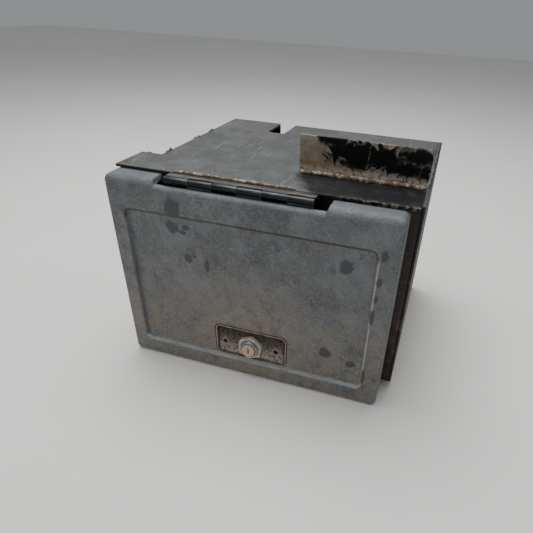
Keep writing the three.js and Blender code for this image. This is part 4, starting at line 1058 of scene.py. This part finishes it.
def door_loops():
    """Every loop of the casting, from the rim forwards, across the face, through the lock hole
    and back inside the pan."""
    front = DOOR_LOW.y
    inside = front + DOOR_FACE
    boss = front + POCKET_DEPTH + POCKET_FLOOR
    loops = [outer_ring(0, 0, 1 - k / 8) for k in range(9)]
    rounding = 9
    for k in range(1, rounding + 1):
        angle = math.pi / 2 * k / rounding
        loops.append(outer_ring(1 - math.cos(angle), math.sin(angle)))

    panel_edge = ring(PANEL_X, PANEL_Z, PANEL_CORNER, front)
    panel_floor = ring(
        (PANEL_X[0] + PANEL_SLOPE, PANEL_X[1] - PANEL_SLOPE),
        (PANEL_Z[0] + PANEL_SLOPE, PANEL_Z[1] - PANEL_SLOPE),
        PANEL_CORNER - PANEL_SLOPE / 2, front + PANEL_DEPTH,
    )
    loops += between(loops[-1], panel_edge, 6)
    loops += between(panel_edge, panel_floor, 7, depth_ease=smooth_step)

    lip = front + PANEL_DEPTH
    lip_outer = pocket_ring(2.6, lip, LOW_LIP)
    loops += between(panel_floor, lip_outer, 34)
    loops += [
        pocket_ring(1.9, lip + 0.35, LOW_LIP),
        pocket_ring(1.4, lip - 0.25, LOW_LIP),
        pocket_ring(0.7, lip - 0.45, LOW_LIP),
        pocket_ring(0.2, lip - 0.15, LOW_LIP),
        pocket_ring(0.0, lip + 0.5),
        pocket_ring(0.0, front + POCKET_DEPTH - 0.6),
        pocket_ring(-0.6, front + POCKET_DEPTH),
    ]
    hole = hole_ring(loops[-1], LOCK_HOLE, front + POCKET_DEPTH)
    loops += between(loops[-1], hole, 4)
    hole_back = hole_ring(pocket_ring(0, 0), LOCK_HOLE, boss)
    loops += [hole_back]
    boss_edge = pocket_ring(3.4, boss)
    loops += between(hole_back, boss_edge, 3)
    loops += [pocket_ring(4.0, boss - 0.6), pocket_ring(4.0, inside + 0.8), pocket_ring(4.8, inside)]
    loops += between(loops[-1], inner_ring(DOOR_WALL + 2, 0.0), 16)
    loops += [inner_ring(DOOR_WALL + 0.6, 0.03)]
    loops += [inner_ring(DOOR_WALL, share) for share in (0.1, 0.3, 0.5, 0.7, 0.9, 0.97)]
    loops += [inner_ring(DOOR_WALL - 0.6, 1.0)]
    return loops


def cast_skin(build):
    """Gives the casting the slow unevenness of a hand-rubbed sand mould."""
    for vert in build.verts:
        slow = noise.noise(vert.co / 38)
        quick = noise.noise(vert.co / 9 + Vector((40, 0, 0)))
        vert.co.y += 0.22 * slow + 0.07 * quick
        side = noise.noise(vert.co / 16 + Vector((0, 90, 0)))
        to_pocket = (
            abs(vert.co.x - POCKET_CENTRE[0]) - POCKET_SIZE[0] / 2,
            abs(vert.co.z - POCKET_CENTRE[1]) - POCKET_SIZE[1] / 2,
        )
        if vert.co.y < DOOR_LOW.y + POCKET_DEPTH - 1 and -1 < max(to_pocket) < 3:
            vert.co.x += 0.5 * noise.noise(vert.co / 4)
            vert.co.z += 0.5 * noise.noise(vert.co / 4 + Vector((0, 50, 0)))
        if vert.co.z < DOOR_LOW.z + 3:
            vert.co.z += 0.3 * max(side, 0)
        if vert.co.x < DOOR_LOW.x + 3:
            vert.co.x += 0.3 * max(side, 0)


def build_door():
    build = bridged(door_loops(), closed=True)
    cast_skin(build)
    add_piece("cast_door", mesh_from(build), ["door_casting"], sharp=50)


# ---------- continuous hinge ----------
LEAF = 1.2                 # thickness of a hinge leaf's sheet
DOOR_LEAF_START = 253      # degrees round the pin where the door leaf's roll begins
TOP_LEAF_START = 90
ROLL = 330                 # degrees of sheet rolled round the pin


def rolled_barrel(x_span, toward_door):
    """One knuckle: the leaf's own sheet, rolled round the pin from its flat."""
    outer = KNUCKLE_RADIUS
    inner = KNUCKLE_RADIUS - LEAF
    start = math.radians(DOOR_LEAF_START if toward_door else TOP_LEAF_START)
    flat = 5.5
    arc = [start + math.radians(ROLL) * k / 26 for k in range(27)]
    if toward_door:
        lead = [(-inner, -flat)]
        back = [(-outer, -flat)]
    else:
        lead = [(flat, outer), (flat / 2, outer)]
        back = [(flat / 2, inner), (flat, inner)]
    section = lead + [(outer * math.cos(a), outer * math.sin(a)) for a in arc]
    section += [(inner * math.cos(a), inner * math.sin(a)) for a in reversed(arc)] + back
    low, high = x_span
    loops = []
    for x, shrink in ((low, 0.12), (low + 0.25, 0), (high - 0.25, 0), (high, 0.12)):
        loops.append([
            Vector((x, PIN_Y + y * (1 - shrink / outer), PIN_Z + z * (1 - shrink / outer)))
            for y, z in section
        ])
    return bridged(loops, closed=False)


def joined(builds):
    """Several bmeshes as one mesh."""
    whole = bmesh.new()
    for build in builds:
        bmesh.ops.recalc_face_normals(build, faces=build.faces)
        part = bpy.data.meshes.new("part")
        build.to_mesh(part)
        build.free()
        whole.from_mesh(part)
        bpy.data.meshes.remove(part)
    mesh = bpy.data.meshes.new("piece")
    whole.to_mesh(mesh)
    whole.free()
    return mesh


def plain_block(low, high, bevel=0.3, grid=0.0, wave=0.0):
    """A bar with rolled edges between two corners."""
    build = bmesh.new()
    bmesh.ops.create_cube(build, size=1)
    low, high = Vector(low), Vector(high)
    for vert in build.verts:
        vert.co = Vector(low[i] + (vert.co[i] + 0.5) * (high[i] - low[i]) for i in range(3))
    bmesh.ops.bevel(
        build, geom=build.edges[:], offset=bevel, segments=3, profile=0.5, affect="EDGES",
    )
    if grid:
        cut_grid(build, grid)
    if wave:
        for vert in build.verts:
            vert.co += noise.noise_vector(vert.co / 22) * wave
    return build


def build_hinge():
    gap = 0.3
    for name, first, toward_door in (("hinge_top_leaf", 0, False), ("hinge_door_leaf", 1, True)):
        parts = []
        for k in range(first, KNUCKLES, 2):
            start = PIN_LOW.x + k * KNUCKLE_LENGTH
            parts.append(rolled_barrel((start + gap / 2, start + KNUCKLE_LENGTH - gap / 2), toward_door))
        low, high = box(name)
        reach = KNUCKLE_RADIUS + 0.9
        if toward_door:
            plate = plain_block(
                (low.x, PIN_Y - KNUCKLE_RADIUS, low.z),
                (high.x, PIN_Y - KNUCKLE_RADIUS + LEAF, PIN_Z - reach),
            )
        else:
            plate = plain_block(
                (low.x, PIN_Y + reach, PIN_Z + KNUCKLE_RADIUS - LEAF),
                (high.x, high.y, PIN_Z + KNUCKLE_RADIUS), grid=8, wave=0.12,
            )
        parts.append(plate)
        add_piece(name + "_rolled", joined(parts), [name])

    spans = [(PIN_LOW.x, 0.7), (PIN_LOW.x + 0.3, 1.0), (PIN_HIGH.x - 0.3, 1.0), (PIN_HIGH.x, 0.7)]
    radius = (PIN_HIGH.z - PIN_LOW.z) / 2
    points = [Vector((x, PIN_Y, PIN_Z)) for x, _ in spans]
    pin = sweep(points, [radius * share for _, share in spans], sides=20)
    add_piece("hinge_pin_wire", mesh_from(pin), ["hinge_pin"])


# ---------- lock ----------
def build_lock():
    centre = (LOCK_X, LOCK_Z)
    front, back = COLLAR_LOW.y, COLLAR_HIGH.y
    across = 15.5
    turn = math.pi / 9
    sides = 96

    def hexagon(grow, y):
        loop = []
        for s in range(sides):
            angle = 2 * math.pi * s / sides
            local = (angle - turn) % (math.pi / 3) - math.pi / 6
            flat = across * math.cos(math.pi / 6) / math.cos(local)
            radius = min(flat, across - 0.9 + 0.4 * math.cos(3 * local)) + grow
            x = centre[0] + radius * math.cos(angle)
            z = centre[1] + radius * math.sin(angle)
            loop.append(Vector((x, y, z)))
        return loop

    bore = lathe_y([(LOCK_HOLE, back), (LOCK_HOLE, front)], centre, sides)
    collar = bridged([
        bore[1], lathe_y([(LOCK_HOLE + 1.5, front)], centre, sides)[0],
        hexagon(-1.1, front), hexagon(-0.35, front + 0.3), hexagon(0, front + 1.0),
        hexagon(0, back - 0.2), hexagon(-0.2, back), bore[0],
    ], closed=True)
    add_piece("lock_collar_nut", mesh_from(collar), ["lock_collar"])

    head_front, head_back = LOCK_LOW.y, front - 0.3
    outer = (LOCK_HIGH.x - LOCK_LOW.x) / 2
    bore_radius = (PLUG_HIGH.x - PLUG_LOW.x) / 2 + 0.45
    barrel = 9.5
    dome = [
        (bore_radius, LOCK_HIGH.y), (bore_radius, head_front + 0.9), (bore_radius + 0.25, head_front + 0.35),
        (bore_radius + 0.8, head_front + 0.05), (bore_radius + 1.5, head_front),
        (outer - 1.1, head_front + 0.35), (outer - 0.45, head_front + 0.95), (outer - 0.1, head_front + 1.8),
        (outer, head_front + 2.5), (outer - 0.15, head_back), (barrel, head_back), (barrel, LOCK_HIGH.y),
    ]
    add_piece("lock_head", mesh_from(bridged(lathe_y(dome, centre, sides), closed=True)), ["lock_housing"])

    face = softened("lock_plug", 0.35, segments=3)
    add_piece("lock_core", face, ["lock_plug"])
    add_piece("lock_pocket_plate", softened("lock_plate", 0.3, grid=6, wave=0.18), ["lock_plate"])
    for name in ("lock_screw_1", "lock_screw_2"):
        add_piece(name + "_soft", softened(name, 0.5, segments=3), [name], materials["black_plate"])


# ---------- case sheets, strip and bracket ----------
def build_sheets():
    strip_coat = strip_paint()
    add_piece("strip_plate", softened("front_strip", 0.5, grid=7, wave=0.22), ["front_strip"], strip_coat)
    add_piece("top_sheet", softened("top_plate", 0.7, grid=9, wave=0.25), ["top_plate"])
    for name in ("left_side_plate", "right_side_plate", "rear_plate", "bottom_plate", "front_frame"):
        add_piece(name + "_sheet", softened(name, 0.5, grid=14, wave=0.15), [name])
    add_piece("bracket_plate", softened("upright_bracket", 0.5, grid=5, wave=0.3), ["upright_bracket"])


def weld_line(name, start, end, radius, lump, pitch=0.8, like=None, replaced=None):
    """A laid bead between two points, with the ripple of its passes."""
    start, end = Vector(start), Vector(end)
    count = max(int((end - start).length / pitch), 6)
    points, radii = [], []
    for k in range(count + 1):
        share = k / count
        point = start.lerp(end, share)
        point += noise.noise_vector(point / 6) * radius * 0.25
        ripple = 1 + 0.12 * math.sin(k * 1.9) + 0.25 * noise.noise(point / 5)
        fade = min(1.0, 0.35 + 5 * min(share, 1 - share) * count * pitch / 20)
        points.append(point)
        radii.append(radius * ripple * fade)
    build = sweep(points, radii, sides=12, lump=lump)
    if replaced:
        return add_piece(name, mesh_from(build), [replaced], sharp=60)
    return add_detail(name, mesh_from(build), like, sharp=60)


def build_welds():
    low, high = box("bracket_weld")
    points_y = high.y - 2.2
    weld_line(
        "bracket_bead", (low.x + 2, points_y, low.z + 2.0), (high.x - 1, points_y, low.z + 2.0),
        2.1, 0.6, replaced="bracket_weld",
    )
    low, high = box("hinge_weld")
    middle_y = (low.y + high.y) / 2
    weld_line(
        "hinge_bead", (low.x, middle_y, low.z + 0.4), (high.x, middle_y, low.z + 0.4),
        1.3, 0.6, replaced="hinge_weld",
    )
    edge_x = TOP_HIGH.x - 2.6
    weld_line(
        "right_edge_bead", (edge_x, BRACKET_HIGH.y + 1, TOP_HIGH.z - 0.2),
        (edge_x, TOP_HIGH.y - 4, TOP_HIGH.z - 0.4), 2.0, 0.8, like="top_plate",
    )
    weld_line(
        "strip_corner_tack", (STRIP_LOW.x + 4, STRIP_HIGH.y + 0.6, STRIP_HIGH.z - 2),
        (STRIP_LOW.x + 13, STRIP_HIGH.y + 0.6, STRIP_HIGH.z - 2), 2.2, 0.8, like="top_plate",
    )
    for k, y in enumerate((-42, 24, 64)):
        weld_line(
            "side_tack_%d" % (k + 1), (TOP_LOW.x + 0.6, y - 7, TOP_HIGH.z - 1.0),
            (TOP_LOW.x + 0.6, y + 7, TOP_HIGH.z - 1.0), 2.0, 0.8, like="top_plate",
        )


# ---------- everything inside ----------
def build_inside():
    """Gives every node that is still plain its rolled edges and its finish."""
    done = {
        "door_casting", "hinge_top_leaf", "hinge_door_leaf", "hinge_pin", "lock_collar", "lock_housing",
        "lock_plug", "lock_plate", "lock_screw_1", "lock_screw_2", "front_strip", "top_plate",
        "left_side_plate", "right_side_plate", "rear_plate", "bottom_plate", "front_frame",
        "upright_bracket", "bracket_weld", "hinge_weld",
    }
    for name in sorted(frame["nodes"]):
        if name not in done:
            add_piece(name + "_finished", softened(name, 0.25), [name])


# ---------- floor, light and camera ----------
def build_stage():
    """A plain pale floor."""
    floor = bpy.data.meshes.new("floor")
    floor.from_pydata([(-4, -4, 0), (4, -4, 0), (4, 4, 0), (-4, 4, 0)], [], [(0, 1, 2, 3)])
    made = bpy.data.objects.new("floor", floor)
    bpy.context.scene.collection.objects.link(made)
    material, tree, shader, place = new_material("pale_studio_floor", 0.0, 0.9)
    tint = patches(tree, place, 400, 0.3, 0.7)
    tree.links.new(layered(tree, linear("eceae6"), [("f1efeb", tint)]), shader.inputs["Base Color"])
    made.data.materials.append(material)


def add_light(name, place, toward, size, power):
    lamp = bpy.data.lights.new(name, "AREA")
    lamp.shape = "DISK"
    lamp.size = size
    lamp.energy = power
    made = bpy.data.objects.new(name, lamp)
    made.location = place
    made.rotation_euler = (Vector(toward) - Vector(place)).to_track_quat("-Z", "Y").to_euler()
    bpy.context.scene.collection.objects.link(made)


def build_lights():
    """A broad soft sky overhead and a weaker one in front."""
    world = bpy.data.worlds.new("studio")
    world.use_nodes = True
    background = world.node_tree.nodes["Background"]
    background.inputs["Color"].default_value = (0.93, 0.96, 1.0, 1)
    background.inputs["Strength"].default_value = 0.3
    bpy.context.scene.world = world
    middle = (0, 0, 0.12)
    add_light("overhead", (-0.2, 0.25, 1.5), middle, 1.3, 27)
    add_light("front_fill", (-0.2, -1.7, 0.9), middle, 1.2, 5)


CAMERA_PLACE = Vector((0.1621, -0.5110, 0.3743))
CAMERA_TURN = 16.07      # degrees left of straight on
CAMERA_TILT = -34.96
CAMERA_ROLL = 2.75
CAMERA_LENS = 31.17
CAMERA_SHIFT = (-0.0632, 0.0915)


def build_camera():
    turn, tilt, roll = (math.radians(a) for a in (CAMERA_TURN, CAMERA_TILT, CAMERA_ROLL))
    ahead = Vector((
        -math.sin(turn) * math.cos(tilt), math.cos(turn) * math.cos(tilt), math.sin(tilt),
    ))
    level = Vector((math.cos(turn), math.sin(turn), 0))
    right = level * math.cos(roll) + level.cross(ahead) * math.sin(roll)
    up = right.cross(ahead)
    lens = bpy.data.cameras.new("camera")
    lens.lens = CAMERA_LENS
    lens.sensor_width = 36
    lens.shift_x, lens.shift_y = CAMERA_SHIFT
    lens.clip_start = 0.01
    made = bpy.data.objects.new("camera", lens)
    made.matrix_world = Matrix((
        (right.x, up.x, -ahead.x, CAMERA_PLACE.x),
        (right.y, up.y, -ahead.y, CAMERA_PLACE.y),
        (right.z, up.z, -ahead.z, CAMERA_PLACE.z),
        (0, 0, 0, 1),
    ))
    bpy.context.scene.collection.objects.link(made)
    bpy.context.scene.camera = made


build_camera()
build_lights()
build_stage()
build_door()
build_hinge()
build_lock()
build_sheets()
build_welds()
build_inside()
